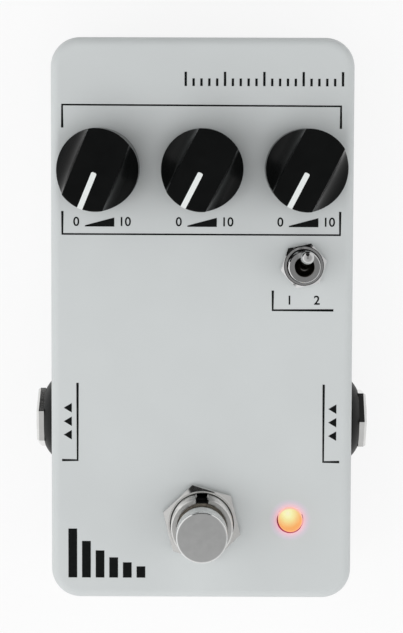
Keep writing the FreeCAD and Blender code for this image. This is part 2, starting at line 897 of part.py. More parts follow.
def footswitch_spring():
    """A coil spring round the stem, from the switch case to the cap."""
    spring = new_body("spring")
    wire = sketch_on(spring, "xz")
    circle(wire, "spring_wire", "spring_radius", "spring_wire")
    helix = spring.newObject("PartDesign::AdditiveHelix", "spring_coil")
    helix.Profile = wire
    helix.ReferenceAxis = (wire, ["V_Axis"])
    helix.Mode = "height-turns-growth"
    bind(helix, Height="plunger_z - switch_top - 2 * spring_wire", Turns="spring_turns")
    doc.recompute()
    return at_switch(spring, "switch_top")


def footswitch_nut():
    nut = hex_nut("switch_hexagon", "switch_nut_flats", "switch_nut_thickness",
                  "switch_bushing_radius + thread_gap", "switch_nut_turn - 30")
    return at_switch(nut, "face_z")


def footswitch_inner_nut():
    nut = hex_nut("switch_inner_hexagon", "switch_nut_flats", "inner_nut_thickness",
                  "switch_bushing_radius + thread_gap")
    return at_switch(nut, "switch_top")


def footswitch_lugs():
    lugs = []
    for column in (-1, 0, 1):
        for line in (-1, 0, 1):
            lugs.append(box("switch_lug", "lug_width", "lug_thickness", "lug_length",
                            f"switch_x + {column} * lug_pitch", f"switch_y + {line} * lug_pitch",
                            "switch_board_top"))
    return group("switch_lug_set", lugs)


# ---------------------------------------------------------------- indicator lamp

def lamp_lens():
    """A round-nosed lamp with a flange at its foot."""
    shoulder = "lamp_height - lamp_radius"
    lens = turned("lens", [("0", "0"), ("lamp_flange_radius", "0"),
                           ("lamp_flange_radius", "lamp_flange_height"),
                           ("lamp_radius", "lamp_flange_height"), ("lamp_radius", shoulder),
                           ("0", "lamp_height")],
                  arcs={4: "lamp_radius"})
    place(lens, "lamp_x", "lamp_y", "lamp_z")
    return lens


def lamp_lead_set(name, gap):
    low = "switch_board_z - pin_tail"
    leads = [rod(name, f"lamp_lead_radius + {gap}", f"lamp_z - ({low})",
                 f"lamp_x + {side} * lamp_lead_pitch / 2", "lamp_y", low)
             for side in (-1, 1)]
    return group(name + "_set", leads)


def lamp_spacer():
    """A tube that holds the lamp up from its board."""
    spacer = tube("spacer", "lamp_radius", "lamp_radius - spacer_wall", "0",
                  "lamp_z - switch_board_top")
    place(spacer, "lamp_x", "lamp_y", "switch_board_top")
    return spacer


# ---------------------------------------------------------------- phone jacks

def on_side(body):
    """Turn a piece made along Z so that it points out of the right-hand wall."""
    body.Placement = FreeCAD.Placement(Vector(), FreeCAD.Rotation(Vector(0, 1, 0), 90))
    place(body, "jack_seat", "jack_y", "jack_z")
    return body


def jack_body():
    """A moulded housing, open at its inner end, that the plug's tip passes through."""
    block = box("jack_block", "jack_length", "jack_box", "jack_box",
                "jack_mid", "jack_y", "jack_z - jack_box / 2")
    chamber = box("jack_chamber_room", "jack_length", "jack_chamber", "jack_chamber",
                  "jack_mid - jack_front", "jack_y", "jack_z - jack_chamber / 2")
    mouth = rod("jack_mouth", "sleeve_radius + thread_gap", "jack_length", "jack_mid",
                "jack_y", "jack_z", axis="x")
    return cut("jack_block_cut", block, group("jack_hollow", [chamber, mouth]))


def jack_sleeve():
    low = "sleeve_end - jack_seat"
    high = "collar_height + jack_nut_thickness + sleeve_proud"
    return on_side(tube("jack_tube", "sleeve_radius", "sleeve_bore", low, high))


def jack_collar():
    """A domed washer that seats on the wall under the nut."""
    bore = "sleeve_radius + thread_gap"
    collar = turned("collar", [(bore, "0"), ("collar_radius", "0"),
                               ("collar_radius", "collar_edge"),
                               ("collar_top_radius", "collar_height"), (bore, "collar_height")],
                    arcs={2: "collar_curve"})
    return on_side(collar)


def jack_nut(name, spin):
    """A nut whose corner nearest the top leans by the given angle towards the knobs."""
    nut = hex_nut(name, "jack_nut_flats", "jack_nut_thickness", "sleeve_radius + thread_gap",
                  f"180 - {spin}")
    nut.Placement = FreeCAD.Placement(Vector(), FreeCAD.Rotation(Vector(0, 1, 0), 90))
    place(nut, "jack_seat + collar_height", "jack_y", "jack_z")
    return nut


def leaf(name, y, reach):
    """A bent spring strip under the roof of the chamber, with its tail outside."""
    strip = new_body(name)
    sketch = sketch_on(strip, "xz")
    outer = f"jack_end - {reach}"
    kink = "jack_end + leaf_kink"
    rest = "jack_end + leaf_rest"
    far = "jack_end + leaf_end"
    thin = "leaf_thickness"
    outline(sketch, [(outer, f"leaf_roof - {thin}"), ("jack_end", f"leaf_roof - {thin}"),
                     (kink, "leaf_roof - leaf_height"), (rest, f"leaf_roof - {thin}"),
                     (far, f"leaf_roof - {thin}"), (far, "leaf_roof"), (rest, "leaf_roof"),
                     (kink, f"leaf_roof - leaf_height + {thin}"), ("jack_end", "leaf_roof"),
                     (outer, "leaf_roof")])
    pad(strip, sketch, "leaf_width", both_ways=True)
    place(strip, y=y)
    return strip


def jack_contacts():
    tip = leaf("tip_leaf", "tip_leaf_y", "2 * leaf_step")
    sleeve = leaf("sleeve_leaf", "sleeve_leaf_y", "leaf_step")
    return group("jack_leaf_set", [tip, sleeve])


def jack_links():
    """Stiff wires from the jacks' tails to the edge of the main board."""
    links = []
    for y, step in (("tip_leaf_y", 1.5), ("sleeve_leaf_y", 0.5)):
        start = f"{y} + leaf_width / 2"
        links.append(rod("link", "link_radius", f"board_front - ({start})",
                         f"jack_end - {step} * leaf_step", start, "leaf_roof - link_radius",
                         axis="y"))
    right = group("link_pair", links)
    return group("link_set", [right, mirrored("link_left", right, ACROSS)])


# ---------------------------------------------------------------- power jack

def power_jack_body():
    """A moulded socket under the rear of the board, its nose in the rear wall."""
    block = box("power_block", "power_width", "power_depth", "power_height",
                "power_x", "room_y - power_depth / 2", "board_z - power_height")
    nose = rod("power_nose", "power_nose_radius", "power_face - room_y", "power_x", "room_y",
               "power_z", axis="y")
    bore = rod("power_bore_room", "power_bore", "power_bore_depth + 1", "power_x",
               "power_bore_end", "power_z", axis="y")
    return cut("power_cut", group("power_solid", [block, nose]), bore)


def power_jack_pin():
    return rod("power_pin", "power_pin_radius", "power_pin_end - power_bore_end", "power_x",
               "power_bore_end", "power_z", axis="y")


def power_jack_contact():
    """A strip that lies along the floor of the socket."""
    strip = box("power_strip", "2 * power_pin_radius", "power_leaf_length", "1", "power_x",
                "power_bore_end + power_leaf_length / 2", "power_z - power_bore")
    hollow = rod("power_strip_room", "power_bore - leaf_thickness", "power_leaf_length + 2",
                 "power_x", "power_bore_end - 1", "power_z", axis="y")
    shaped = cut("power_strip_cut", strip, hollow)
    limit = rod("power_strip_limit", "power_bore", "power_leaf_length + 2",
                "power_x", "power_bore_end - 1", "power_z", axis="y")
    fitted = doc.addObject("Part::Common", "power_strip_fitted")
    fitted.Base = shaped
    fitted.Tool = limit
    return fitted


# ---------------------------------------------------------------- boards and components

def main_board():
    """The board under the knobs, with a tongue between the rear bosses."""
    board = new_body("board")
    sketch = sketch_on(board, "xy")
    half = "board_side"
    tongue = "(boss_x - boss_radius - board_boss_gap)"
    outline(sketch, [(f"-{half}", "board_front"), (half, "board_front"),
                     (half, "board_shoulder"), (tongue, "board_shoulder"),
                     (tongue, "board_tongue"), (f"-{tongue}", "board_tongue"),
                     (f"-{tongue}", "board_shoulder"), (f"-{half}", "board_shoulder")])
    pad(board, sketch, "board_thickness")
    place(board, z="board_z")
    holes = group("board_holes", [pot_pin_set("pot_pin_hole", "hole_gap"),
                                  toggle_pin_set("toggle_pin_hole", "hole_gap")])
    return cut("board_cut", board, holes)


def switch_board():
    """The board under the footswitch that also carries the lamp."""
    board = new_body("lower_board")
    sketch = sketch_on(board, "xy")
    rectangle(sketch, "switch_board_left", "switch_board_right",
              "switch_board_front", "switch_board_rear")
    pad(board, sketch, "board_thickness")
    place(board, z="switch_board_z")
    return cut("lower_board_cut", board, lamp_lead_set("lead_hole", "hole_gap"))


def ribbon_cable():
    """A flat cable down from the main board and along to the lower board."""
    ribbon = new_body("ribbon")
    sketch = sketch_on(ribbon, "yz")
    near = "ribbon_start"
    far = "ribbon_start + ribbon_thickness"
    floor = "ribbon_z"
    outline(sketch, [("switch_board_rear", floor), (far, floor), (far, "board_z"),
                     (near, "board_z"), (near, f"{floor} + ribbon_thickness"),
                     ("switch_board_rear", f"{floor} + ribbon_thickness")])
    pad(ribbon, sketch, "ribbon_width", both_ways=True)
    bends = {value(far): "ribbon_bend + ribbon_thickness", value(near): "ribbon_bend"}
    above_bends = value(f"{floor} + ribbon_bend")
    for y, radius in bends.items():
        round_edges(ribbon, radius,
                    lambda edge: (abs(edge.CenterOfMass.y - y) < 0.01
                                  and edge.BoundBox.ZMax < above_bends
                                  and abs(edge.tangentAt(edge.FirstParameter).x) > 0.9))
    return ribbon


def echo_chip():
    return box("chip_block", "chip_length", "chip_width", "chip_height",
               "chip_x", "chip_y", "board_top")


def regulator():
    """The voltage regulator, behind the echo chip."""
    return box("regulator_block", "regulator_length", "regulator_length", "regulator_height",
               "regulator_x", "regulator_y", "board_top")


def capacitors():
    """A row of round capacitors along the left-hand edge of the board."""
    cans = [rod("can", "capacitor_radius", "capacitor_height", "capacitor_x",
                f"board_front + {number + 0.5} * capacitor_pitch", "board_top")
            for number in range(3)]
    return group("can_set", cans)


def small_parts():
    """Two rows of small chip resistors and capacitors in front of the potentiometers."""
    parts = [box("small_part", "small_part_length", "small_part_width", "small_part_height",
                 f"small_part_x + {column} * small_part_pitch",
                 f"small_part_y - {line} * small_part_pitch", "board_top")
             for column in range(5) for line in range(2)]
    return group("small_part_set", parts)


# ---------------------------------------------------------------- assembly

def build_case():
    room = screw_room()
    piece(enclosure(room), "enclosure")
    piece(base_plate(room), "base_plate")
    piece(lid_screws(), "lid_screws")
    piece(rubber_feet(), "rubber_feet")


def build_controls():
    for name, x, angle in (("mix", "-knob_pitch", "mix_angle"), ("speed", "0", "speed_angle"),
                           ("repeats", "knob_pitch", "repeats_angle")):
        piece(knob(name, x, angle), name + "_knob")
        piece(pointer(name + "_line", x, angle), name + "_pointer")
        piece(pot_shaft(name + "_rod", x), name + "_pot_shaft")
        piece(pot_body(name + "_pot", x), name + "_pot_body")
    piece(one_per_pot("pot_bushing", pot_bushing, "roof_z"), "pot_bushings")
    piece(one_per_pot("pot_washer", pot_washer, "face_z"), "pot_washers")
    piece(one_per_pot("pot_nut", pot_nut, "face_z + pot_washer_thickness"), "pot_nuts")
    piece(pot_pin_set("pot_pin", "0"), "pot_pins")


def build_toggle():
    piece(toggle_body(), "toggle_body")
    piece(toggle_bushing(), "toggle_bushing")
    piece(toggle_lever(), "toggle_lever")
    piece(toggle_nut(), "toggle_nut")
    piece(toggle_washer(), "toggle_washer")
    piece(toggle_seat_washer(), "toggle_seat_washer")
    piece(toggle_pin_set("toggle_pin", "0"), "toggle_pins")


def build_footswitch():
    piece(footswitch_body(), "footswitch_body")
    piece(footswitch_bushing(), "footswitch_bushing")
    piece(footswitch_plunger(), "footswitch_plunger")
    piece(footswitch_spring(), "footswitch_spring")
    piece(footswitch_nut(), "footswitch_nut")
    piece(footswitch_inner_nut(), "footswitch_inner_nut")
    piece(footswitch_lugs(), "footswitch_lugs")


def build_lamp():
    piece(lamp_lens(), "led_lens")
    piece(lamp_lead_set("lead", "0"), "led_leads")
    piece(lamp_spacer(), "led_spacer")


def build_jacks():
    parts = {"body": jack_body(), "sleeve": jack_sleeve(), "collar": jack_collar(),
             "contacts": jack_contacts(), "nut": jack_nut("input_hexagon", "input_nut_turn")}
    for kind, part in parts.items():
        piece(part, f"input_jack_{kind}")
    parts["nut"] = jack_nut("output_hexagon", "output_nut_turn")
    for kind, part in parts.items():
        piece(mirrored(f"output_{kind}", part, ACROSS), f"output_jack_{kind}")
    piece(jack_links(), "jack_links")


def build_power_jack():
    piece(power_jack_body(), "power_jack_body")
    piece(power_jack_pin(), "power_jack_pin")
    piece(power_jack_contact(), "power_jack_contact")


def build_boards():
    piece(main_board(), "main_board")
    piece(switch_board(), "switch_board")
    piece(ribbon_cable(), "ribbon_cable")
    piece(echo_chip(), "echo_chip")
    piece(regulator(), "voltage_regulator")
    piece(capacitors(), "capacitors")
    piece(small_parts(), "small_parts")


def check_document():
    """Stop if any object failed or any piece has no valid shape."""
    for item in doc.Objects:
        if "Invalid" in item.State or "Error" in item.State:
            raise ValueError(f"{item.Name} failed: {item.State}")
    for item in pieces:
        if item.Shape.isNull() or not item.Shape.isValid() or not item.Shape.Solids:
            raise ValueError(f"{item.Label} has no valid shape")


def write_pieces():
    os.makedirs("parts", exist_ok=True)
    for item in pieces:
        item.Shape.exportStep(f"parts/{item.Label}.step")


build_case()
build_controls()
build_toggle()
build_footswitch()
build_lamp()
build_jacks()
build_power_jack()
build_boards()
doc.recompute()
check_document()
write_pieces()
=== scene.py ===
"""The looks of a compact echo pedal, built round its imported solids. Metres, +Z up."""

import json
import math

import bmesh
import bpy
from mathutils import Matrix, Vector


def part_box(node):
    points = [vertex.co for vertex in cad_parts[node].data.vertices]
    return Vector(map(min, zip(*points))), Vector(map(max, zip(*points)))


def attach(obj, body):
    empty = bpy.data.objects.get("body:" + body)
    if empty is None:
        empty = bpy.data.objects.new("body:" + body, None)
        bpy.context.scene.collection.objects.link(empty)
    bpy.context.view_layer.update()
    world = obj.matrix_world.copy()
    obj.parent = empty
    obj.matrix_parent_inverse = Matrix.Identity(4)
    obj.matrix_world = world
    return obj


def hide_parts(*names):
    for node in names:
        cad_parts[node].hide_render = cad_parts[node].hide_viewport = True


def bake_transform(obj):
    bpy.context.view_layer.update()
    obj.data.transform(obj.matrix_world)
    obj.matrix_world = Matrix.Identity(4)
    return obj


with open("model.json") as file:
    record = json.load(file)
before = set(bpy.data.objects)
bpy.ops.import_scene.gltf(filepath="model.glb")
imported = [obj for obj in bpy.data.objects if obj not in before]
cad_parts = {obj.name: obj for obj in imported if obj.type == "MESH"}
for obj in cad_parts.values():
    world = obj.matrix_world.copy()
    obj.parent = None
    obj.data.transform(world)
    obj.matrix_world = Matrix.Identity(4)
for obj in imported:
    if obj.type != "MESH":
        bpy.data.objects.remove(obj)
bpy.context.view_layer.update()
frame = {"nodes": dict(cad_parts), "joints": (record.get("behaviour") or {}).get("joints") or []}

MM = 0.001
NODES = frame["nodes"]
JOINTS = {joint["name"]: joint for joint in frame["joints"]}


# ---------------------------------------------------------------- places read from the frame

def middle(node):
    """The middle of a node's box."""
    low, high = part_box(node)
    return (low + high) / 2


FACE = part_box("enclosure")[1].z
KNOBS = {name: Vector(JOINTS[f"{name}_turn"]["pos_m"]) for name in ("mix", "speed", "repeats")}
TOGGLE = Vector(JOINTS["toggle_throw"]["pos_m"])
SWITCH = middle("footswitch_plunger")
LAMP = middle("led_lens")


# ---------------------------------------------------------------- the lit lamp
# Radii and shifts from the lamp's middle in millimetres. Its colours go from the middle of the
# beam out to its edge; the spill colours are a glow painted on the coat from the lens outwards, in
# place of the light that the lamp spills there.

LENS_RADIUS = 2.5
BEAM_SHIFT = Vector((-0.5, 1.65, 0.0))
BEAM_RADIUS = 3.4
BEAM_COLORS = ((0.0, (0.97, 0.92, 0.62)), (0.2, (0.95, 0.92, 0.48)), (0.42, (0.93, 0.76, 0.33)),
               (0.62, (0.94, 0.58, 0.23)), (0.85, (0.95, 0.42, 0.125)),
               (1.0, (0.95, 0.42, 0.13)))
LENS_FOOT = (0.2, 0.6)
FOOT_COLOR = (0.90, 0.52, 0.42)
# Painted shade: a dark red crescent along one side of the lens's rim, set by this shift and
# colour.
SHADE_SHIFT = Vector((0.13, 0.27, 0.0))
SHADE_COLOR = (0.13, 0.0, 0.0)
SPILL_RADIUS = 4.3
SPILL_COLORS = ((0.0, (0.34, 0.0, 0.04)), (0.22, (0.29, 0.0, 0.075)), (0.5, (0.12, 0.0, 0.07)),
                (0.75, (0.04, 0.0, 0.045)), (1.0, (0.0, 0.0, 0.0)))


# ---------------------------------------------------------------- print on the face
# Places on the face in millimetres from its middle; line and ink sizes beside them. A digit
# stands as high as its share of the font's size, and is swollen a little at its edges.

LINE_WIDTH = 0.47
INK_THICKNESS = 0.02
DIGIT_HEIGHT = 1.8
DIGIT_SHARE = 0.72
DIGIT_SWELL = 0.04

BRACKETS = {
    "knob_bracket_upper": [(-27.53, 38.1), (-27.53, 42.59), (27.17, 42.41), (27.17, 38.0)],
    "knob_bracket_lower": [(-27.53, 21.7), (-27.53, 17.17), (27.17, 17.1), (27.17, 21.7)],
    "toggle_bracket": [(14.0, 6.1), (14.0, 2.2), (26.0, 2.2)],
    "output_bracket": [(-24.6, -12.4), (-24.6, -27.9), (-27.7, -27.9)],
    "input_bracket": [(24.2, -12.6), (24.2, -28.1), (27.4, -28.1)],
}

KNOB_SCALES = {"mix": -20.2, "speed": 0.0, "repeats": 20.0}
KNOB_SCALE_Y = 19.55
SCALE_REACH = 4.6
TEN_SHIFT = 0.35
WEDGE_REACH = 2.9
WEDGE_TIP = 0.25
TOGGLE_MARKS = (("1", 17.3), ("2", 22.7))
TOGGLE_MARK_Y = 4.1
FLOW_MARKS = {"output_flow": (-26.5, (-17.4, -20.1, -22.8)),
              "input_flow": (26.0, (-17.5, -20.2, -22.9))}
ARROWHEAD = {"base": 0.75, "half_width": 0.95, "point": -0.85}
RULER = {"start": -3.3, "pitch": 1.54, "ticks": 21, "base": 46.3, "short": 1.5, "tall": 2.8,
         "tall_every": 5}
ECHO_BARS = {"start": -25.6, "pitch": 2.72, "base": -51.6, "width": 1.75,
             "heights": (9.9, 7.4, 5.5, 4.1, 3.1, 2.3)}


# ---------------------------------------------------------------- metal on the face
# Radii, widths and turns of the collars and nuts, in millimetres and degrees. A thread is its
# depth, its pitch and the lead that bevels its top.

NICKEL = (0.72, 0.715, 0.70)
SWITCH_CREST = 6.1
SWITCH_THREAD = (0.32, 0.8, 0.28)
SWITCH_POINTS = 180
SWITCH_MOUTH = 4.95
SWITCH_GUIDE = 4.36
SWITCH_MOUTH_DEPTH = 0.5
SWITCH_NUT = {"flats": 13.8, "crest": SWITCH_CREST, "turned": 44.0, "slope": 25.0, "rim": 0.25}
KEYWAY = 2.3
KEYWAY_DEPTH = 0.82
SLOT_DEPTH = 2.4
SLOT_END = 4.85
SPRING_RADIUS = 3.55
SPRING_WIRE = 0.2
SPRING_TURNS = 4.0
TOGGLE_CREST = 3.13
TOGGLE_THREAD = (0.2, 0.64, 0.16)
TOGGLE_POINTS = 144
TOGGLE_BORE = 1.95
TOGGLE_NUT = {"flats": 8.0, "crest": TOGGLE_CREST, "turned": 12.0, "slope": 38.0, "rim": 0.2}
NUT_POINTS = 96
NUT_SINK = 0.2
JACK_NUT_FLATS = 11.0
JACK_NUT_DEPTH = 1.5
JACK_NUT_BEVEL = (0.45, 0.28)
JACK_NUT_LEAN = {"input": 2.5, "output": 20.5}
JACK_BORE = 4.53


# ---------------------------------------------------------------- light round the pedal
# Sky levels by degrees from straight up. The dark panel behind it: half its width in degrees
# to either side of +Y, and its lower and upper edges as heights on a sky of radius 1. The floor
# shows its white to the camera and in reflections; its glow is the share of that white there.

TENT = ((0, 0.30), (6, 0.30), (14, 0.40), (22, 0.60), (40, 0.70), (68, 0.72), (80, 1.1),
        (180, 1.1))
SIDE_LEVEL = 0.95
SIDE_TILT = -0.2
PANEL_LEVEL = 0.04
PANEL_WIDTH = (26.6, 31.8)
PANEL_LOW = (-0.09, -0.03)
PANEL_TOP = (0.82, 0.86)
FLOOR_SIZE = 0.35
FLOOR_WHITE = 0.985
FLOOR_GLOW = 0.86

# Name, place, side and watts of each softbox, in metres.
SOFTBOXES = (("overhead_softbox", (-0.1, -0.2, 1.1), 1.0, 4.5),
             ("left_softbox", (-0.8, -0.1, 0.65), 0.6, 1.8),
             ("right_softbox", (0.8, -0.1, 0.65), 0.6, 1.7))
SOFTBOX_AIM = Vector((0.0, 0.0, 0.02))

# The camera's spot in millimetres, its turns in radians and its lens in millimetres.
CAMERA_SPOT = (0.654, 39.286, 357.02)
CAMERA_TURN = (("X", 0.0647), ("Y", -0.0026), ("Z", -0.0032))
CAMERA_LENS = 93.74
CAMERA_SHIFT = -0.1387


# ---------------------------------------------------------------- shader helpers

def set_stops(ramp, stops):
    """Fill a colour ramp with its stops, each a position and a colour, from low to high."""
    elements = ramp.color_ramp.elements
    for element, (position, color) in zip(elements, (stops[0], stops[-1])):
        element.position, element.color = position, (*color, 1.0)
    for position, color in stops[1:-1]:
        elements.new(position).color = (*color, 1.0)


class Finish:
    """A material under construction: its tree, its shader and a few ways to add texture."""

    def __init__(self, name, color, roughness, metallic=0.0, **sockets):
        self.material = bpy.data.materials.new(name)
        self.material.use_nodes = True
        self.tree = self.material.node_tree
        self.shader = self.tree.nodes["Principled BSDF"]
        self.place = self.add("ShaderNodeTexCoord").outputs["Object"]
        self.set("Base Color", (*color, 1.0))
        self.set("Roughness", roughness)
        self.set("Metallic", metallic)
        for socket, number in sockets.items():
            self.set(socket.replace("_", " "), number)

    def set(self, socket, number):
        self.shader.inputs[socket].default_value = number

    def add(self, kind, **settings):
        made = self.tree.nodes.new(kind)
        for name, setting in settings.items():
            setattr(made, name, setting)
        return made

    def link(self, source, target):
        self.tree.links.new(source, target)

    def centred(self, centre, tilt=(0.0, 0.0, 0.0)):
        """Object coordinates measured from a point of the piece."""
        mapping = self.add("ShaderNodeMapping", vector_type="TEXTURE")
        mapping.inputs["Location"].default_value = centre
        mapping.inputs["Rotation"].default_value = tilt
        self.link(self.place, mapping.inputs["Vector"])
        return mapping.outputs["Vector"]

    def across(self, centre):
        """Distance from an upright axis through a point."""
        flat = self.add("ShaderNodeVectorMath", operation="MULTIPLY")
        flat.inputs[1].default_value = (1.0, 1.0, 0.0)
        self.link(self.centred(centre), flat.inputs[0])
        away = self.add("ShaderNodeVectorMath", operation="LENGTH")
        self.link(flat.outputs["Vector"], away.inputs[0])
        return away.outputs["Value"]

    def away(self, point):
        """Distance from a point."""
        length = self.add("ShaderNodeVectorMath", operation="LENGTH")
        self.link(self.centred(point), length.inputs[0])
        return length.outputs["Value"]

    def height(self):
        """Height above the feet."""
        parts = self.add("ShaderNodeSeparateXYZ")
        self.link(self.place, parts.inputs[0])
        return parts.outputs["Z"]

    def noise(self, grain, detail=2.0):
        """Noise whose blobs are about one grain across, in metres."""
        texture = self.add("ShaderNodeTexNoise")
        texture.inputs["Scale"].default_value = 1.0 / grain
        texture.inputs["Detail"].default_value = detail
        self.link(self.place, texture.inputs["Vector"])
        return texture.outputs["Fac"]

    def rings(self, spacing, place):
        """Turning marks about the piece's own upright axis."""
        texture = self.add("ShaderNodeTexWave", wave_type="RINGS", rings_direction="Z")
        texture.inputs["Scale"].default_value = 0.314 / spacing
        texture.inputs["Distortion"].default_value = 0.4
        self.link(place, texture.inputs["Vector"])
        return texture.outputs["Fac"]

    def spread(self, source, low, high, start=0.3, finish=0.7):
        """Map a texture onto a range of numbers."""
        ranged = self.add("ShaderNodeMapRange")
        for socket, number in (("From Min", start), ("From Max", finish),
                               ("To Min", low), ("To Max", high)):
            ranged.inputs[socket].default_value = number
        self.link(source, ranged.inputs["Value"])
        return ranged.outputs["Result"]

    def vary_color(self, source, one, other):
        ramp = self.add("ShaderNodeMix", data_type="RGBA")
        ramp.inputs[6].default_value = (*one, 1.0)
        ramp.inputs[7].default_value = (*other, 1.0)
        self.link(self.spread(source, 0.0, 1.0), ramp.inputs["Factor"])
        self.link(ramp.outputs[2], self.shader.inputs["Base Color"])

    def vary_roughness(self, source, low, high):
        self.link(self.spread(source, low, high), self.shader.inputs["Roughness"])

    def bump(self, source, depth):
        """Raise the surface by the texture; depth is in metres. Later bumps add to this one."""
        raised = self.add("ShaderNodeBump")
        raised.inputs["Strength"].default_value = 1.0
        raised.inputs["Distance"].default_value = depth
        self.link(source, raised.inputs["Height"])
        before = self.shader.inputs["Normal"].links
        if before:
            self.link(before[0].from_socket, raised.inputs["Normal"])
        self.link(raised.outputs["Normal"], self.shader.inputs["Normal"])


def shaded(color, factor):
    return tuple(channel * factor for channel in color)


# ---------------------------------------------------------------- finishes

def powder_coat(name, color):
    """Satin powder coat: fine orange peel, a little unevenness in colour and sheen.

    On the face, close round the lamp, a red glow is painted into its emission in place of the
    light that the lamp's foot spills on it."""
    finish = Finish(name, color, 0.42, Specular_IOR_Level=0.45, Emission_Strength=1.0)
    # Painted light: the red glow in the coat's emission round the lamp stands in for the light
    # that the lamp spills.
    spill = finish.add("ShaderNodeValToRGB")
    set_stops(spill, SPILL_COLORS)
    foot = finish.away(Vector((LAMP.x, LAMP.y, FACE)))
    finish.link(finish.spread(foot, 0.0, 1.0, LENS_RADIUS * MM, SPILL_RADIUS * MM),
                spill.inputs["Fac"])
    finish.link(spill.outputs["Color"], finish.shader.inputs["Emission Color"])
    finish.vary_color(finish.noise(14 * MM), shaded(color, 0.985), shaded(color, 1.015))
    finish.vary_roughness(finish.noise(0.5 * MM), 0.38, 0.5)
    finish.bump(finish.noise(0.8 * MM), 0.006 * MM)
    finish.bump(finish.noise(0.18 * MM, detail=3.0), 0.002 * MM)
    return finish.material


def printing_ink():
    color = (0.0046, 0.0052, 0.0052)
    finish = Finish("printing_ink", color, 0.7, Specular_IOR_Level=0.08)
    finish.vary_roughness(finish.noise(0.3 * MM), 0.6, 0.8)
    finish.vary_color(finish.noise(0.6 * MM), color, shaded(color, 1.5))
    return finish.material


def knob_gloss():
    """Polished black moulding with faint polishing haze."""
    color = (0.0035, 0.0038, 0.0038)
    finish = Finish("knob_gloss", color, 0.2, Specular_IOR_Level=0.07)
    finish.vary_roughness(finish.noise(2.5 * MM), 0.16, 0.26)
    finish.vary_color(finish.noise(4 * MM), color, shaded(color, 1.3))
    finish.bump(finish.noise(1.5 * MM), 0.003 * MM)
    return finish.material


def pointer_paint():
    color = (0.72, 0.75, 0.74)
    finish = Finish("pointer_paint", color, 0.45)
    finish.vary_color(finish.noise(0.5 * MM), shaded(color, 0.97), shaded(color, 1.03))
    finish.bump(finish.noise(0.4 * MM), 0.004 * MM)
    return finish.material


def plated(name, color, centre, smooth, dull, tilt=(0.0, 0.0, 0.0)):
    """Bright plating over turned metal, with the turning marks about the piece's axis."""
    finish = Finish(name, color, smooth, metallic=1.0)
    place = finish.centred(centre, tilt)
    marks = finish.rings(0.12 * MM, place)
    finish.vary_roughness(finish.noise(0.9 * MM), smooth, dull)
    finish.vary_color(finish.noise(1.6 * MM), shaded(color, 0.94), color)
    finish.bump(marks, 0.0008 * MM)
    finish.bump(finish.noise(0.7 * MM), 0.001 * MM)
    return finish.material


def moulded(name, color, roughness, depth=0.004 * MM, **sockets):
    """Plain moulded plastic or rubber with a fine surface grain."""
    finish = Finish(name, color, roughness, **sockets)
    finish.vary_color(finish.noise(3 * MM), shaded(color, 0.9), shaded(color, 1.1))
    grain = finish.noise(0.3 * MM)
    finish.vary_roughness(grain, roughness - 0.05, roughness + 0.08)
    finish.bump(grain, depth)
    return finish.material


def dark_bore():
    """Metal inside a collar, darkened brown with painted shade."""
    color = (0.14, 0.124, 0.10)
    finish = Finish("dark_bore", color, 0.5, metallic=0.3)
    finish.vary_color(finish.noise(0.6 * MM), shaded(color, 0.6), shaded(color, 1.5))
    finish.vary_roughness(finish.noise(0.4 * MM), 0.42, 0.6)
    finish.bump(finish.noise(0.5 * MM), 0.01 * MM)
    return finish.material


def thread_shadow():
    """Painted shadow: near-black for the shade in the line where a collar's thread meets its nut,
    and in other narrow gaps.
    """
    color = (0.004, 0.004, 0.004)
    finish = Finish("thread_shadow", color, 0.7, Specular_IOR_Level=0.1)
    finish.vary_color(finish.noise(0.5 * MM), color, shaded(color, 2.0))
    finish.vary_roughness(finish.noise(0.4 * MM), 0.6, 0.8)
    return finish.material


def lever_chrome():
    """Chrome on the lever, with painted shade that makes it dark where it goes down into the
    collar.
    """
    finish = Finish("lever_chrome", (0.55, 0.55, 0.55), 0.04, metallic=1.0)
    # Painted shade: the base colour goes nearly black low down, where the lever enters the collar.
    depth = finish.spread(finish.height(), 0.0, 1.0, FACE + 3.6 * MM, FACE + 5.2 * MM)
    color = finish.add("ShaderNodeMix", data_type="RGBA")
    finish.link(depth, color.inputs["Factor"])
    color.inputs[6].default_value = (0.07, 0.065, 0.06, 1.0)
    color.inputs[7].default_value = (0.55, 0.55, 0.55, 1.0)
    finish.link(color.outputs[2], finish.shader.inputs["Base Color"])
    finish.vary_roughness(finish.noise(0.8 * MM), 0.03, 0.07)
    finish.bump(finish.noise(1.1 * MM), 0.0015 * MM)
    return finish.material


def cap_chrome():
    """Chrome on the footswitch's cap: polished on top, handled and duller down its side."""
    finish = Finish("cap_chrome", (0.85, 0.855, 0.85), 0.06, metallic=1.0)
    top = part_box("footswitch_plunger")[1].z
    finish.link(finish.spread(finish.height(), 0.4, 0.06, top - 0.9 * MM, top - 0.4 * MM),
                finish.shader.inputs["Roughness"])
    finish.vary_color(finish.noise(1.6 * MM), (0.80, 0.805, 0.80), (0.85, 0.855, 0.85))
    finish.bump(finish.noise(0.7 * MM), 0.0003 * MM)
    return finish.material


def drawn_metal(name, color, roughness):
    """Tinned wire, pins and spring strip: dull metal with a slight mottle."""
    finish = Finish(name, color, roughness, metallic=1.0)
    finish.vary_color(finish.noise(0.8 * MM), shaded(color, 0.88), color)
    finish.vary_roughness(finish.noise(0.5 * MM), roughness - 0.06, roughness + 0.1)
    return finish.material


def board_mask():
    """Green solder mask with fine copper runs showing through as paler lines."""
    color = (0.03, 0.20, 0.10)
    finish = Finish("board_mask", color, 0.35)
    grid = finish.add("ShaderNodeTexBrick", offset=0.5)
    grid.inputs["Scale"].default_value = 160.0
    grid.inputs["Mortar Size"].default_value = 0.03
    grid.inputs["Color1"].default_value = (*color, 1.0)
    grid.inputs["Color2"].default_value = (*shaded(color, 0.85), 1.0)
    grid.inputs["Mortar"].default_value = (*shaded(color, 1.7), 1.0)
    finish.link(finish.place, grid.inputs["Vector"])
    finish.link(grid.outputs["Color"], finish.shader.inputs["Base Color"])
    return finish.material


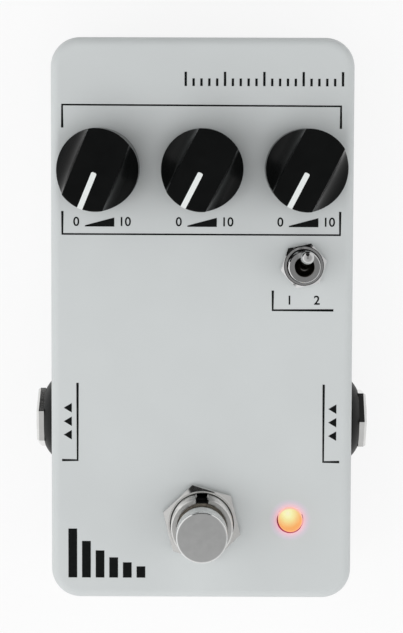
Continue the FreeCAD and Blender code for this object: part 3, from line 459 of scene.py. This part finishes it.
def lamp_lens():
    """A lit lens: pale in the middle of its beam, orange towards the rim, and darker at one side
    of its foot, where a dark red crescent of shade is painted.
    """
    finish = Finish("lamp_glow", (0.0, 0.0, 0.0), 0.1, Specular_IOR_Level=0.2)
    beam = finish.add("ShaderNodeValToRGB")
    set_stops(beam, BEAM_COLORS)
    out = finish.across(LAMP + BEAM_SHIFT * MM)
    finish.link(finish.spread(out, 0.0, 1.0, 0.0, BEAM_RADIUS * MM), beam.inputs["Fac"])
    skirt = finish.spread(finish.height(), 1.0, 0.0, *(FACE + rise * MM for rise in LENS_FOOT))
    rim = finish.add("ShaderNodeMix", data_type="RGBA")
    finish.link(skirt, rim.inputs["Factor"])
    finish.link(beam.outputs["Color"], rim.inputs[6])
    rim.inputs[7].default_value = (*FOOT_COLOR, 1.0)
    # Painted shade: beyond the lens's radius from a shifted centre, the glow turns to the dark
    # shade colour.
    shade = finish.spread(finish.across(LAMP + SHADE_SHIFT * MM), 0.0, 1.0,
                          LENS_RADIUS * MM, (LENS_RADIUS + 0.1) * MM)
    glow = finish.add("ShaderNodeMix", data_type="RGBA")
    finish.link(shade, glow.inputs["Factor"])
    finish.link(rim.outputs[2], glow.inputs[6])
    glow.inputs[7].default_value = (*SHADE_COLOR, 1.0)
    finish.link(glow.outputs[2], finish.shader.inputs["Emission Color"])
    finish.link(finish.spread(finish.noise(1.2 * MM), 0.95, 1.01),
                finish.shader.inputs["Emission Strength"])
    return finish.material


# ---------------------------------------------------------------- dressing the solids

def dress(material, *names):
    """Give CAD nodes a finish."""
    for name in names:
        slots = NODES[name].data.materials
        slots.clear()
        slots.append(material)


def dress_solids():
    """Finishes for the solids that stay; fit_metal makes those that are replaced."""
    dress(powder_coat("case_coat", (0.555, 0.58, 0.582)), "enclosure", "base_plate")
    dress(plated("screw_zinc", (0.55, 0.55, 0.56), (0, 0, 0), 0.3, 0.45), "lid_screws")
    dress(moulded("foot_rubber", (0.02, 0.02, 0.02), 0.8, depth=0.02 * MM), "rubber_feet")
    gloss = knob_gloss()
    fill = pointer_paint()
    pot_case = moulded("pot_case", (0.05, 0.22, 0.30), 0.5)
    for name, centre in KNOBS.items():
        dress(gloss, f"{name}_knob")
        dress(fill, f"{name}_pointer")
        dress(plated(f"{name}_shaft_metal", (0.7, 0.7, 0.71), centre, 0.25, 0.4),
              f"{name}_pot_shaft")
        dress(pot_case, f"{name}_pot_body")
    dress(drawn_metal("pot_nickel", NICKEL, 0.3), "pot_bushings", "pot_washers", "pot_nuts")
    dress(plated("toggle_nickel", NICKEL, TOGGLE, 0.12, 0.22),
          "toggle_washer", "toggle_seat_washer")
    dress(lever_chrome(), "toggle_lever")
    dress(moulded("toggle_case", (0.45, 0.06, 0.05), 0.5), "toggle_body")
    dress(plated("switch_nickel", NICKEL, SWITCH, 0.14, 0.26), "footswitch_inner_nut")
    dress(cap_chrome(), "footswitch_plunger")
    dress(moulded("switch_case", (0.04, 0.12, 0.40), 0.5), "footswitch_body")
    tinned = drawn_metal("tinned_metal", (0.74, 0.73, 0.70), 0.35)
    dress(tinned, "pot_pins", "toggle_pins", "footswitch_lugs", "led_leads", "jack_links")
    dress(lamp_lens(), "led_lens")
    dress(moulded("spacer_nylon", (0.8, 0.78, 0.72), 0.5), "led_spacer")
    dress(moulded("jack_plastic", (0.03, 0.03, 0.03), 0.5), "input_jack_body", "output_jack_body")
    dress(moulded("collar_black", (0.006, 0.0065, 0.0065), 0.42, depth=0.002 * MM,
                  Specular_IOR_Level=0.15), "input_jack_collar", "output_jack_collar")
    dress(drawn_metal("contact_bronze", (0.72, 0.60, 0.36), 0.35),
          "input_jack_contacts", "output_jack_contacts", "power_jack_contact")
    dress(moulded("socket_plastic", (0.015, 0.015, 0.015), 0.45), "power_jack_body")
    dress(drawn_metal("socket_pin", NICKEL, 0.2), "power_jack_pin")
    dress(board_mask(), "main_board", "switch_board")
    dress(moulded("cable_grey", (0.5, 0.5, 0.51), 0.6), "ribbon_cable")
    dress(moulded("chip_black", (0.02, 0.02, 0.02), 0.55),
          "echo_chip", "voltage_regulator", "small_parts")
    dress(drawn_metal("can_aluminium", (0.72, 0.72, 0.74), 0.3), "capacitors")


# ---------------------------------------------------------------- geometry nodes

def node_group(name, sizes):
    """A geometry node tree with named length inputs and a geometry in and out."""
    tree = bpy.data.node_groups.new(name, "GeometryNodeTree")
    tree.interface.new_socket("Geometry", in_out="INPUT", socket_type="NodeSocketGeometry")
    for label in sizes:
        tree.interface.new_socket(label, in_out="INPUT", socket_type="NodeSocketFloat")
    tree.interface.new_socket("Material", in_out="INPUT", socket_type="NodeSocketMaterial")
    tree.interface.new_socket("Geometry", in_out="OUTPUT", socket_type="NodeSocketGeometry")
    return tree, tree.nodes.new("NodeGroupInput"), tree.nodes.new("NodeGroupOutput")


def chain(tree, kind, **inputs):
    """Add a node and connect or set its named inputs."""
    made = tree.nodes.new(kind)
    for socket, source in inputs.items():
        target = made.inputs[socket.replace("_", " ")]
        if isinstance(source, bpy.types.NodeSocket):
            tree.links.new(source, target)
        else:
            target.default_value = source
    return made


def end_tree(tree, geometry, given, result):
    real = chain(tree, "GeometryNodeRealizeInstances", Geometry=geometry)
    painted = chain(tree, "GeometryNodeSetMaterial", Geometry=real.outputs["Geometry"],
                    Material=given.outputs["Material"])
    tree.links.new(painted.outputs["Geometry"], result.inputs["Geometry"])


def inked_path_tree():
    """Sweeps a strip of ink, lying flat, along the edges that it is given."""
    tree, given, result = node_group("inked_path", ("Width", "Thickness"))
    path = chain(tree, "GeometryNodeMeshToCurve", Mesh=given.outputs["Geometry"])
    level = chain(tree, "GeometryNodeSetCurveNormal", Curve=path.outputs["Curve"])
    level.mode = "Z_UP"
    strip = chain(tree, "GeometryNodeCurvePrimitiveQuadrilateral",
                  Width=given.outputs["Width"], Height=given.outputs["Thickness"])
    swept = chain(tree, "GeometryNodeCurveToMesh", Curve=level.outputs["Curve"],
                  Profile_Curve=strip.outputs["Curve"], Fill_Caps=True)
    end_tree(tree, swept.outputs["Mesh"], given, result)
    return tree


def tick_row_tree():
    """Stands a flat tick on each point; each tick is as long as its point's length."""
    tree, given, result = node_group("tick_row", ("Width", "Thickness"))
    tick = chain(tree, "GeometryNodeMeshCube")
    size = chain(tree, "ShaderNodeCombineXYZ", X=given.outputs["Width"], Y=1.0,
                 Z=given.outputs["Thickness"])
    tree.links.new(size.outputs["Vector"], tick.inputs["Size"])
    based = chain(tree, "GeometryNodeTransform", Geometry=tick.outputs["Mesh"])
    based.inputs["Translation"].default_value = (0.0, 0.5, 0.0)
    points = chain(tree, "GeometryNodeMeshToPoints", Mesh=given.outputs["Geometry"])
    length = chain(tree, "GeometryNodeInputNamedAttribute", Name="length")
    length.data_type = "FLOAT"
    stretch = chain(tree, "ShaderNodeCombineXYZ", X=1.0, Z=1.0)
    tree.links.new(next(out for out in length.outputs if out.enabled), stretch.inputs["Y"])
    row = chain(tree, "GeometryNodeInstanceOnPoints", Points=points.outputs["Points"],
                Instance=based.outputs["Geometry"], Scale=stretch.outputs["Vector"])
    end_tree(tree, row.outputs["Instances"], given, result)
    return tree


def coil_tree():
    """Winds round wire into a coil that stands on the origin."""
    tree, given, result = node_group("coil", ("Radius", "Rise", "Turns", "Wire"))
    helix = chain(tree, "GeometryNodeCurveSpiral", Resolution=32,
                  Rotations=given.outputs["Turns"], Start_Radius=given.outputs["Radius"],
                  End_Radius=given.outputs["Radius"], Height=given.outputs["Rise"])
    round_wire = chain(tree, "GeometryNodeCurvePrimitiveCircle", Resolution=12,
                       Radius=given.outputs["Wire"])
    wound = chain(tree, "GeometryNodeCurveToMesh", Curve=helix.outputs["Curve"],
                  Profile_Curve=round_wire.outputs["Curve"], Fill_Caps=True)
    end_tree(tree, wound.outputs["Mesh"], given, result)
    return tree


def apply_tree(holder, tree, material, name, **sizes):
    """Run a tree on an object's mesh and return the result as a plain mesh object."""
    modifier = holder.modifiers.new("shape", "NODES")
    modifier.node_group = tree
    sockets = {item.name: item.identifier for item in tree.interface.items_tree
               if item.in_out == "INPUT"}
    for label, size in sizes.items():
        modifier[sockets[label]] = size
    modifier[sockets["Material"]] = material
    bpy.context.view_layer.update()
    shaped = holder.evaluated_get(bpy.context.evaluated_depsgraph_get())
    mesh = bpy.data.meshes.new_from_object(shaped)
    bpy.data.objects.remove(holder)
    mesh.name = name
    made = bpy.data.objects.new(name, mesh)
    bpy.context.scene.collection.objects.link(made)
    return made


def path_holder(paths, height):
    """Loose edges through lists of face points, in millimetres, at one height in metres."""
    mesh = bpy.data.meshes.new("paths")
    points = []
    edges = []
    for path in paths:
        first = len(points)
        points += [(x * MM, y * MM, height) for x, y in path]
        edges += [(first + k, first + k + 1) for k in range(len(path) - 1)]
    mesh.from_pydata(points, edges, [])
    holder = bpy.data.objects.new("paths", mesh)
    bpy.context.scene.collection.objects.link(holder)
    return holder


def tick_holder(feet, lengths, height):
    """Loose points at the feet of a row of ticks, in millimetres, each with its length."""
    mesh = bpy.data.meshes.new("ticks")
    mesh.from_pydata([(x * MM, y * MM, height) for x, y in feet], [], [])
    mesh.attributes.new("length", "FLOAT", "POINT").data.foreach_set(
        "value", [length * MM for length in lengths])
    holder = bpy.data.objects.new("ticks", mesh)
    bpy.context.scene.collection.objects.link(holder)
    return holder


# ---------------------------------------------------------------- turned and threaded metal

def spot(centre, angle, radius, along, sideways):
    """A point round an upright axis, or round one that points to the side."""
    across = radius * math.cos(angle)
    over = radius * math.sin(angle)
    if sideways:
        return (along, centre.y + across, centre.z + over)
    return (centre.x + across, centre.y + over, along)


def hooped(name, rings, centre, materials, node, sideways=False):
    """A closed ring-shaped piece from hoops of (angle, radius, height), in place of a node.

    Each hoop is a list of points and a finish number for the band up to the next hoop."""
    shape = bmesh.new()
    hoops = [[shape.verts.new(spot(centre, *point, sideways)) for point in points]
             for points, _ in rings]
    count = len(hoops[0])
    for row, (_, finish) in enumerate(rings):
        low, high = hoops[row], hoops[(row + 1) % len(hoops)]
        for k in range(count):
            band = shape.faces.new((low[k], low[(k + 1) % count], high[(k + 1) % count], high[k]))
            band.material_index = finish
            band.smooth = True
    bmesh.ops.remove_doubles(shape, verts=shape.verts, dist=0.0005 * MM)
    bmesh.ops.dissolve_degenerate(shape, edges=shape.edges, dist=0.0004 * MM)
    bmesh.ops.recalc_face_normals(shape, faces=shape.faces)
    mesh = bpy.data.meshes.new(name)
    shape.to_mesh(mesh)
    shape.free()
    for material in materials:
        mesh.materials.append(material)
    mesh.set_sharp_from_angle(angle=math.radians(24))
    made = bpy.data.objects.new(name, mesh)
    bpy.context.scene.collection.objects.link(made)
    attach(made, "case")
    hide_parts(node)
    return made


def round_angles(count, turned=0.0):
    """Angles in radians, evenly round a turn, from one in degrees."""
    return [math.radians(turned) + math.tau * k / count for k in range(count)]


def round_hoop(angles, radius, height):
    return [(angle, radius, height) for angle in angles]


def hexagon_hoop(angles, flats, turned, height, slope=0.0, inset=0.0):
    """A hexagon's outline; a slope in degrees drops its corners as a conical chamfer does."""
    points = []
    for angle in angles:
        beside = (angle - math.radians(turned)) % (math.tau / 6) - math.tau / 12
        radius = (flats / 2 - inset) / math.cos(beside)
        drop = (radius - flats / 2) * math.tan(math.radians(slope))
        points.append((angle, radius, height - drop))
    return points


def face_nut(name, node, centre, metals, flats, crest, turned, slope, rim):
    """A hexagon nut on the face: chamfered all round, with a painted shadow line at its thread.

    The chamfer starts on a circle that lies inside the flats by the rim."""
    low, high = (corner.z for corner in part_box(node))
    flats, bore, sink = flats * MM, (crest + 0.03) * MM, NUT_SINK * MM
    angles = round_angles(NUT_POINTS, turned)
    top = flats / 2 - rim * MM
    drop = rim * MM * math.tan(math.radians(slope))
    hoops = [(round_hoop(angles, bore, low), 0),
             # Painted shadow: the sink from this hoop up to the next takes the near-black second
             # finish.
             (round_hoop(angles, bore, high - sink), 1),
             (round_hoop(angles, bore + sink, high), 2),
             # The band from this hoop to where the chamfer starts takes the fourth finish; on the
             # toggle nut that is a painted shadow line.
             (round_hoop(angles, top, high), 3),
             (round_hoop(angles, top + rim * MM * 0.6, high - drop * 0.6), 0),
             (hexagon_hoop(angles, flats, turned, high - drop, slope), 0),
             (hexagon_hoop(angles, flats, turned, low + drop, -slope), 0),
             (round_hoop(angles, top, low), 0)]
    return hooped(name, hoops, centre, metals, node)


def jack_nut(side, metal):
    """A nut that stands flat on its collar, with its outer edges bevelled."""
    node = f"{side}_jack_nut"
    low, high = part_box(node)
    way, inner = (1.0, low.x) if side == "input" else (-1.0, high.x)
    outer = inner + way * JACK_NUT_DEPTH * MM
    bevel_depth, bevel_width = (size * MM for size in JACK_NUT_BEVEL)
    shoulder = outer - way * bevel_depth
    turned = 90.0 - JACK_NUT_LEAN[side]
    angles = round_angles(NUT_POINTS, turned)
    flats, bore = JACK_NUT_FLATS * MM, JACK_BORE * MM
    hoops = [(round_hoop(angles, bore, inner), 0),
             (round_hoop(angles, bore, outer), 0),
             (hexagon_hoop(angles, flats, turned, outer, inset=bevel_width), 0),
             (hexagon_hoop(angles, flats, turned, shoulder), 0),
             (hexagon_hoop(angles, flats, turned, inner), 0)]
    return hooped(f"{side}_jack_hexagon", hoops, middle(node), [metal], node, sideways=True)


def thread_hoops(angles, crest, thread, low, high):
    """Hoops up a screw thread; its top is bevelled by the lead."""
    depth, pitch, lead = (size * MM for size in thread)
    rows = int((high - low) / (pitch / 8)) + 1
    hoops = []
    for row in range(rows + 1):
        height = low + (high - low) * row / rows
        points = []
        for angle in angles:
            phase = (height / pitch - angle / math.tau) % 1.0
            radius = crest - depth * min(1.0, max(0.0, 1.25 - abs(phase - 0.5) * 4))
            points.append((angle, min(radius, crest - lead + (high - height)), height))
        hoops.append((points, 0))
    return hoops


def keyed(points, floor, half_width, top):
    """Cut a hoop back to a flat floor, towards the knobs, and lower it there to a top."""
    cut = []
    for angle, radius, height in points:
        across = math.cos(angle - math.pi / 2)
        beside = abs(math.sin(angle - math.pi / 2)) * radius
        if across > 0 and beside < half_width:
            cut.append((angle, min(radius, floor / across), min(height, top)))
        else:
            cut.append((angle, radius, height))
    return cut


def switch_collar(bright, shaded_bore, slot_shadow):
    """The footswitch's threaded collar, with a keyway that opens into a slot at its mouth; its
    mouth and slot are darkened with painted shade.
    """
    low, high = (corner.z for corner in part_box("footswitch_bushing"))
    crest = SWITCH_CREST * MM
    mouth = SWITCH_MOUTH * MM
    guide = SWITCH_GUIDE * MM
    step = high - SWITCH_MOUTH_DEPTH * MM
    slot = high - SLOT_DEPTH * MM
    half = KEYWAY / 2 * MM
    edge = math.asin(half / crest)
    angles = sorted(round_angles(SWITCH_POINTS)
                    + [math.pi / 2 + side * (edge + tip) for side in (-1, 1)
                       for tip in (-0.0004, 0.0004)])
    floor, end = crest - KEYWAY_DEPTH * MM, SLOT_END * MM
    hoops = [(keyed(points, floor, half, slot), finish) for points, finish
             in thread_hoops(angles, crest, SWITCH_THREAD, low, high)]
    hoops += [(keyed(round_hoop(angles, mouth + 0.2 * MM, high), end, half, slot), 0),
              # Painted shade: the mouth's walls and its step take the dark bore finish.
              (keyed(round_hoop(angles, mouth, high - 0.2 * MM), end, half, slot), 1),
              (keyed(round_hoop(angles, mouth, step), end, half, step), 1),
              (round_hoop(angles, guide, step), 1),
              (round_hoop(angles, guide, low), 0)]
    made = hooped("footswitch_collar", hoops, SWITCH, [bright, shaded_bore, slot_shadow], "footswitch_bushing")
    # Painted shadow: the faces down in the keyway slot take the near-black third finish.
    for face in made.data.polygons:
        beyond = face.center - SWITCH
        if abs(beyond.x) < half and beyond.y > end - 0.1 * MM and face.center.z < high - 0.3 * MM:
            face.material_index = 2
    return made


def toggle_collar(bright, shaded_bore):
    """The toggle's threaded collar, with a bevelled end and a bore darkened with painted shade."""
    low, high = (corner.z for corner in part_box("toggle_bushing"))
    angles = round_angles(TOGGLE_POINTS)
    bore = TOGGLE_BORE * MM
    hoops = thread_hoops(angles, TOGGLE_CREST * MM, TOGGLE_THREAD, low, high)
    hoops += [(round_hoop(angles, bore + 0.1 * MM, high), 0),
              # Painted shade: the bore takes the dark bore finish.
              (round_hoop(angles, bore, high - 0.1 * MM), 1),
              (round_hoop(angles, bore, low), 0)]
    return hooped("toggle_collar", hoops, TOGGLE, [bright, shaded_bore], "toggle_bushing")


def switch_spring(steel):
    """The footswitch's return spring."""
    low, high = (corner.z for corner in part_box("footswitch_spring"))
    wire = SPRING_WIRE * MM
    holder = bpy.data.objects.new("coil", bpy.data.meshes.new("coil"))
    bpy.context.scene.collection.objects.link(holder)
    made = apply_tree(holder, coil_tree(), steel, "footswitch_coil", Radius=SPRING_RADIUS * MM,
                      Rise=high - low - 2 * wire, Turns=SPRING_TURNS, Wire=wire)
    made.data.transform(Matrix.Translation((SWITCH.x, SWITCH.y, low + wire)))
    for face in made.data.polygons:
        face.use_smooth = True
    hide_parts("footswitch_spring")
    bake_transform(made)


# ---------------------------------------------------------------- printed marks

def flat_shapes(name, outlines, material):
    """Thin printed shapes from closed outlines of face points in millimetres."""
    shape = bmesh.new()
    for outline in outlines:
        corners = [shape.verts.new((x * MM, y * MM, FACE)) for x, y in outline]
        base = shape.faces.new(corners)
        base.normal_update()
        if base.normal.z < 0:
            base.normal_flip()
        raised = bmesh.ops.extrude_face_region(shape, geom=[base])
        lifted = [item for item in raised["geom"] if isinstance(item, bmesh.types.BMVert)]
        bmesh.ops.translate(shape, verts=lifted, vec=(0, 0, INK_THICKNESS * MM))
    bmesh.ops.recalc_face_normals(shape, faces=shape.faces)
    return finished(name, shape, material)


def finished(name, shape, material):
    """Turn a bmesh into a printed piece on the case."""
    mesh = bpy.data.meshes.new(name)
    shape.to_mesh(mesh)
    shape.free()
    mesh.materials.append(material)
    made = bpy.data.objects.new(name, mesh)
    bpy.context.scene.collection.objects.link(made)
    return on_case(made)


def on_case(piece):
    """Fix a printed piece to the case."""
    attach(piece, "case")
    return piece


def digits(name, labels, material):
    """Plain numbers, each centred on its face point in millimetres."""
    meshes = []
    for text, x, y in labels:
        curve = bpy.data.curves.new("digits", "FONT")
        curve.body = text
        curve.size = DIGIT_HEIGHT * MM / DIGIT_SHARE
        curve.align_x = "CENTER"
        curve.align_y = "CENTER"
        curve.offset = DIGIT_SWELL * MM
        curve.extrude = INK_THICKNESS * MM / 2
        holder = bpy.data.objects.new("digits", curve)
        bpy.context.scene.collection.objects.link(holder)
        bpy.context.view_layer.update()
        shaped = holder.evaluated_get(bpy.context.evaluated_depsgraph_get())
        mesh = bpy.data.meshes.new_from_object(shaped)
        mesh.transform(Matrix.Translation((x * MM, y * MM, FACE + INK_THICKNESS * MM / 2)))
        meshes.append(mesh)
        bpy.data.objects.remove(holder)
    shape = bmesh.new()
    for mesh in meshes:
        shape.from_mesh(mesh)
    bmesh.ops.remove_doubles(shape, verts=shape.verts, dist=0.001 * MM)
    return finished(name, shape, material)


def tick_row(name, tree, ink, feet, lengths, width):
    """A row of flat printed ticks of the given lengths."""
    holder = tick_holder(feet, lengths, FACE + INK_THICKNESS * MM / 2)
    on_case(apply_tree(holder, tree, ink, name, Width=width * MM,
                       Thickness=INK_THICKNESS * MM))


def print_brackets(ink):
    tree = inked_path_tree()
    for name, path in BRACKETS.items():
        holder = path_holder([path], FACE + INK_THICKNESS * MM / 2)
        on_case(apply_tree(holder, tree, ink, name, Width=LINE_WIDTH * MM,
                           Thickness=INK_THICKNESS * MM))


def print_knob_scales(ink):
    """Under each knob: a rising wedge between its lowest and highest number."""
    for name, x in KNOB_SCALES.items():
        low = KNOB_SCALE_Y - DIGIT_HEIGHT / 2
        start, end = x - WEDGE_REACH, x + WEDGE_REACH
        wedge = [(start, low), (end, low), (end, low + DIGIT_HEIGHT), (start, low + WEDGE_TIP)]
        flat_shapes(f"{name}_wedge", [wedge], ink)
        digits(f"{name}_numbers", (("0", x - SCALE_REACH, KNOB_SCALE_Y),
                                   ("10", x + SCALE_REACH + TEN_SHIFT, KNOB_SCALE_Y)), ink)


def print_flow_marks(ink):
    """Beside each jack: arrowheads that show which way the signal goes."""
    base, half, point = ARROWHEAD.values()
    for name, (x, rows) in FLOW_MARKS.items():
        flat_shapes(name, [[(x + base, y - half), (x + base, y + half), (x + point, y)]
                           for y in rows], ink)


def print_rows(ink):
    """A plain ruler across the top, and bars that die away like echoes at the foot."""
    tree = tick_row_tree()
    ruler = RULER
    feet = [(ruler["start"] + ruler["pitch"] * k, ruler["base"]) for k in range(ruler["ticks"])]
    lengths = [ruler["short"] if k % ruler["tall_every"] else ruler["tall"]
               for k in range(ruler["ticks"])]
    tick_row("face_ruler", tree, ink, feet, lengths, LINE_WIDTH)
    bars = ECHO_BARS
    feet = [(bars["start"] + bars["pitch"] * k, bars["base"]) for k in range(len(bars["heights"]))]
    tick_row("echo_bars", tree, ink, feet, bars["heights"], bars["width"])


def print_face():
    ink = printing_ink()
    print_brackets(ink)
    print_knob_scales(ink)
    digits("toggle_numbers", [(label, x, TOGGLE_MARK_Y) for label, x in TOGGLE_MARKS], ink)
    print_flow_marks(ink)
    print_rows(ink)


def fit_metal():
    """Threaded collars and nuts, in their plating."""
    bore_shade_finish = dark_bore()
    line = thread_shadow()
    switch_collar(plated("collar_nickel", (0.76, 0.755, 0.74), SWITCH, 0.3, 0.4), bore_shade_finish, line)
    nut_metal = plated("nut_nickel", (0.74, 0.735, 0.72), SWITCH, 0.06, 0.12)
    nut_top = plated("nut_brushed", (0.93, 0.92, 0.90), SWITCH, 0.32, 0.42)
    face_nut("footswitch_hexagon", "footswitch_nut", SWITCH,
             [nut_metal, line, nut_top, nut_metal], **SWITCH_NUT)
    toggle = plated("toggle_collar_nickel", (0.64, 0.64, 0.64), TOGGLE, 0.07, 0.12)
    toggle_collar(toggle, bore_shade_finish)
    # The toggle nut's fourth finish is the painted shadow line where its chamfer starts.
    face_nut("toggle_hexagon", "toggle_nut", TOGGLE, [toggle, line, toggle, line], **TOGGLE_NUT)
    switch_spring(drawn_metal("spring_steel", (0.6, 0.6, 0.6), 0.3))
    for side in ("input", "output"):
        sleeve = middle(f"{side}_jack_sleeve")
        metal = plated(f"{side}_jack_nickel", (0.74, 0.74, 0.73), sleeve, 0.05, 0.09,
                       tilt=(0.0, math.pi / 2, 0.0))
        dress(metal, f"{side}_jack_sleeve")
        jack_nut(side, metal)


# ---------------------------------------------------------------- studio

def math_node(tree, operation, first, second=0.0):
    """A Math node; its inputs are sockets or plain numbers."""
    made = tree.nodes.new("ShaderNodeMath")
    made.operation = operation
    for slot, source in enumerate((first, second)):
        if isinstance(source, bpy.types.NodeSocket):
            tree.links.new(source, made.inputs[slot])
        else:
            made.inputs[slot].default_value = source
    return made.outputs[0]


def smooth_step(tree, source, start, finish, low, high):
    """A smooth step from low to high as the source goes from start to finish."""
    fade = tree.nodes.new("ShaderNodeMapRange")
    fade.interpolation_type = "SMOOTHSTEP"
    for socket, number in (("From Min", start), ("From Max", finish), ("To Min", low),
                           ("To Max", high)):
        fade.inputs[socket].default_value = number
    tree.links.new(source, fade.inputs["Value"])
    return fade.outputs[0]


def studio_floor():
    """A pale floor: white to the camera and in reflections, and it keeps soft shadows."""
    shape = bmesh.new()
    bmesh.ops.create_grid(shape, x_segments=1, y_segments=1, size=FLOOR_SIZE)
    mesh = bpy.data.meshes.new("floor")
    shape.to_mesh(mesh)
    shape.free()
    floor = bpy.data.objects.new("floor", mesh)
    bpy.context.scene.collection.objects.link(floor)
    material = bpy.data.materials.new("pale_floor")
    material.use_nodes = True
    tree = material.node_tree
    output = tree.nodes["Material Output"]
    shader = tree.nodes["Principled BSDF"]
    shader.inputs["Base Color"].default_value = (0.85, 0.85, 0.85, 1.0)
    shader.inputs["Roughness"].default_value = 0.9
    glow = tree.nodes.new("ShaderNodeEmission")
    glow.inputs["Color"].default_value = (FLOOR_WHITE, FLOOR_WHITE, FLOOR_WHITE, 1.0)
    path = tree.nodes.new("ShaderNodeLightPath")
    seen = math_node(tree, "MAXIMUM", path.outputs["Is Camera Ray"],
                     path.outputs["Is Glossy Ray"])
    clear = math_node(tree, "MAXIMUM", seen, path.outputs["Is Transmission Ray"])
    mix = tree.nodes.new("ShaderNodeMixShader")
    tree.links.new(math_node(tree, "MULTIPLY", clear, FLOOR_GLOW), mix.inputs["Fac"])
    tree.links.new(shader.outputs[0], mix.inputs[1])
    tree.links.new(glow.outputs[0], mix.inputs[2])
    tree.links.new(mix.outputs[0], output.inputs["Surface"])
    mesh.materials.append(material)


def studio_world():
    """A soft white tent, dimmer overhead, bright low down, with a dark panel behind."""
    world = bpy.data.worlds.new("studio")
    bpy.context.scene.world = world
    world.use_nodes = True
    tree = world.node_tree
    background = tree.nodes["Background"]
    place = tree.nodes.new("ShaderNodeTexCoord")
    parts = tree.nodes.new("ShaderNodeSeparateXYZ")
    tree.links.new(place.outputs["Generated"], parts.inputs[0])
    steep = math_node(tree, "ARCCOSINE", parts.outputs["Z"])
    tent = tree.nodes.new("ShaderNodeValToRGB")
    set_stops(tent, [(degrees / 180.0, (level, level, level)) for degrees, level in TENT])
    tree.links.new(math_node(tree, "DIVIDE", steep, math.pi), tent.inputs["Fac"])
    side = math_node(tree, "MULTIPLY_ADD", parts.outputs["X"], SIDE_TILT)
    side.node.inputs[2].default_value = SIDE_LEVEL
    sideways = math_node(tree, "ABSOLUTE", parts.outputs["X"])
    turned = math_node(tree, "ARCTAN2", sideways, parts.outputs["Y"])
    within = smooth_step(tree, turned, math.radians(PANEL_WIDTH[0]), math.radians(PANEL_WIDTH[1]),
                      1.0, 0.0)
    above = smooth_step(tree, parts.outputs["Z"], PANEL_LOW[0], PANEL_LOW[1], 0.0, 1.0)
    below = smooth_step(tree, parts.outputs["Z"], PANEL_TOP[0], PANEL_TOP[1], 1.0, 0.0)
    panel = math_node(tree, "MULTIPLY", within, math_node(tree, "MULTIPLY", above, below))
    kept = math_node(tree, "MULTIPLY_ADD", panel, PANEL_LEVEL - 1.0)
    kept.node.inputs[2].default_value = 1.0
    light = math_node(tree, "MULTIPLY", math_node(tree, "MULTIPLY", tent.outputs["Color"], side),
                       kept)
    tree.links.new(light, background.inputs["Strength"])
    background.inputs["Color"].default_value = (1.0, 1.0, 1.0, 1.0)


def softbox(name, place, size, watts):
    """A square lamp that points at the pedal and doesn't show in its metal."""
    lamp = bpy.data.lights.new(name, "AREA")
    lamp.shape = "SQUARE"
    lamp.size = size
    lamp.energy = watts
    holder = bpy.data.objects.new(name, lamp)
    holder.location = place
    holder.rotation_euler = (SOFTBOX_AIM - Vector(place)).to_track_quat("-Z", "Y").to_euler()
    holder.visible_glossy = False
    bpy.context.scene.collection.objects.link(holder)


def studio_camera():
    """Straight above the pedal, leaning a little from the knob end."""
    lens = bpy.data.cameras.new("camera")
    lens.sensor_width = 36.0
    lens.lens = CAMERA_LENS
    lens.shift_y = CAMERA_SHIFT
    lens.clip_start = 0.01
    camera = bpy.data.objects.new("camera", lens)
    turn = Matrix.Identity(4)
    for axis, angle in CAMERA_TURN:
        turn = turn @ Matrix.Rotation(angle, 4, axis)
    camera.matrix_world = Matrix.Translation(Vector(CAMERA_SPOT) * MM) @ turn.transposed()
    bpy.context.scene.collection.objects.link(camera)
    bpy.context.scene.camera = camera


def build_studio():
    studio_floor()
    studio_world()
    for box in SOFTBOXES:
        softbox(*box)
    studio_camera()
    bpy.context.scene.view_settings.view_transform = "Standard"


# ---------------------------------------------------------------- the whole pedal

dress_solids()
print_face()
fit_metal()
build_studio()

bpy.context.view_layer.update()
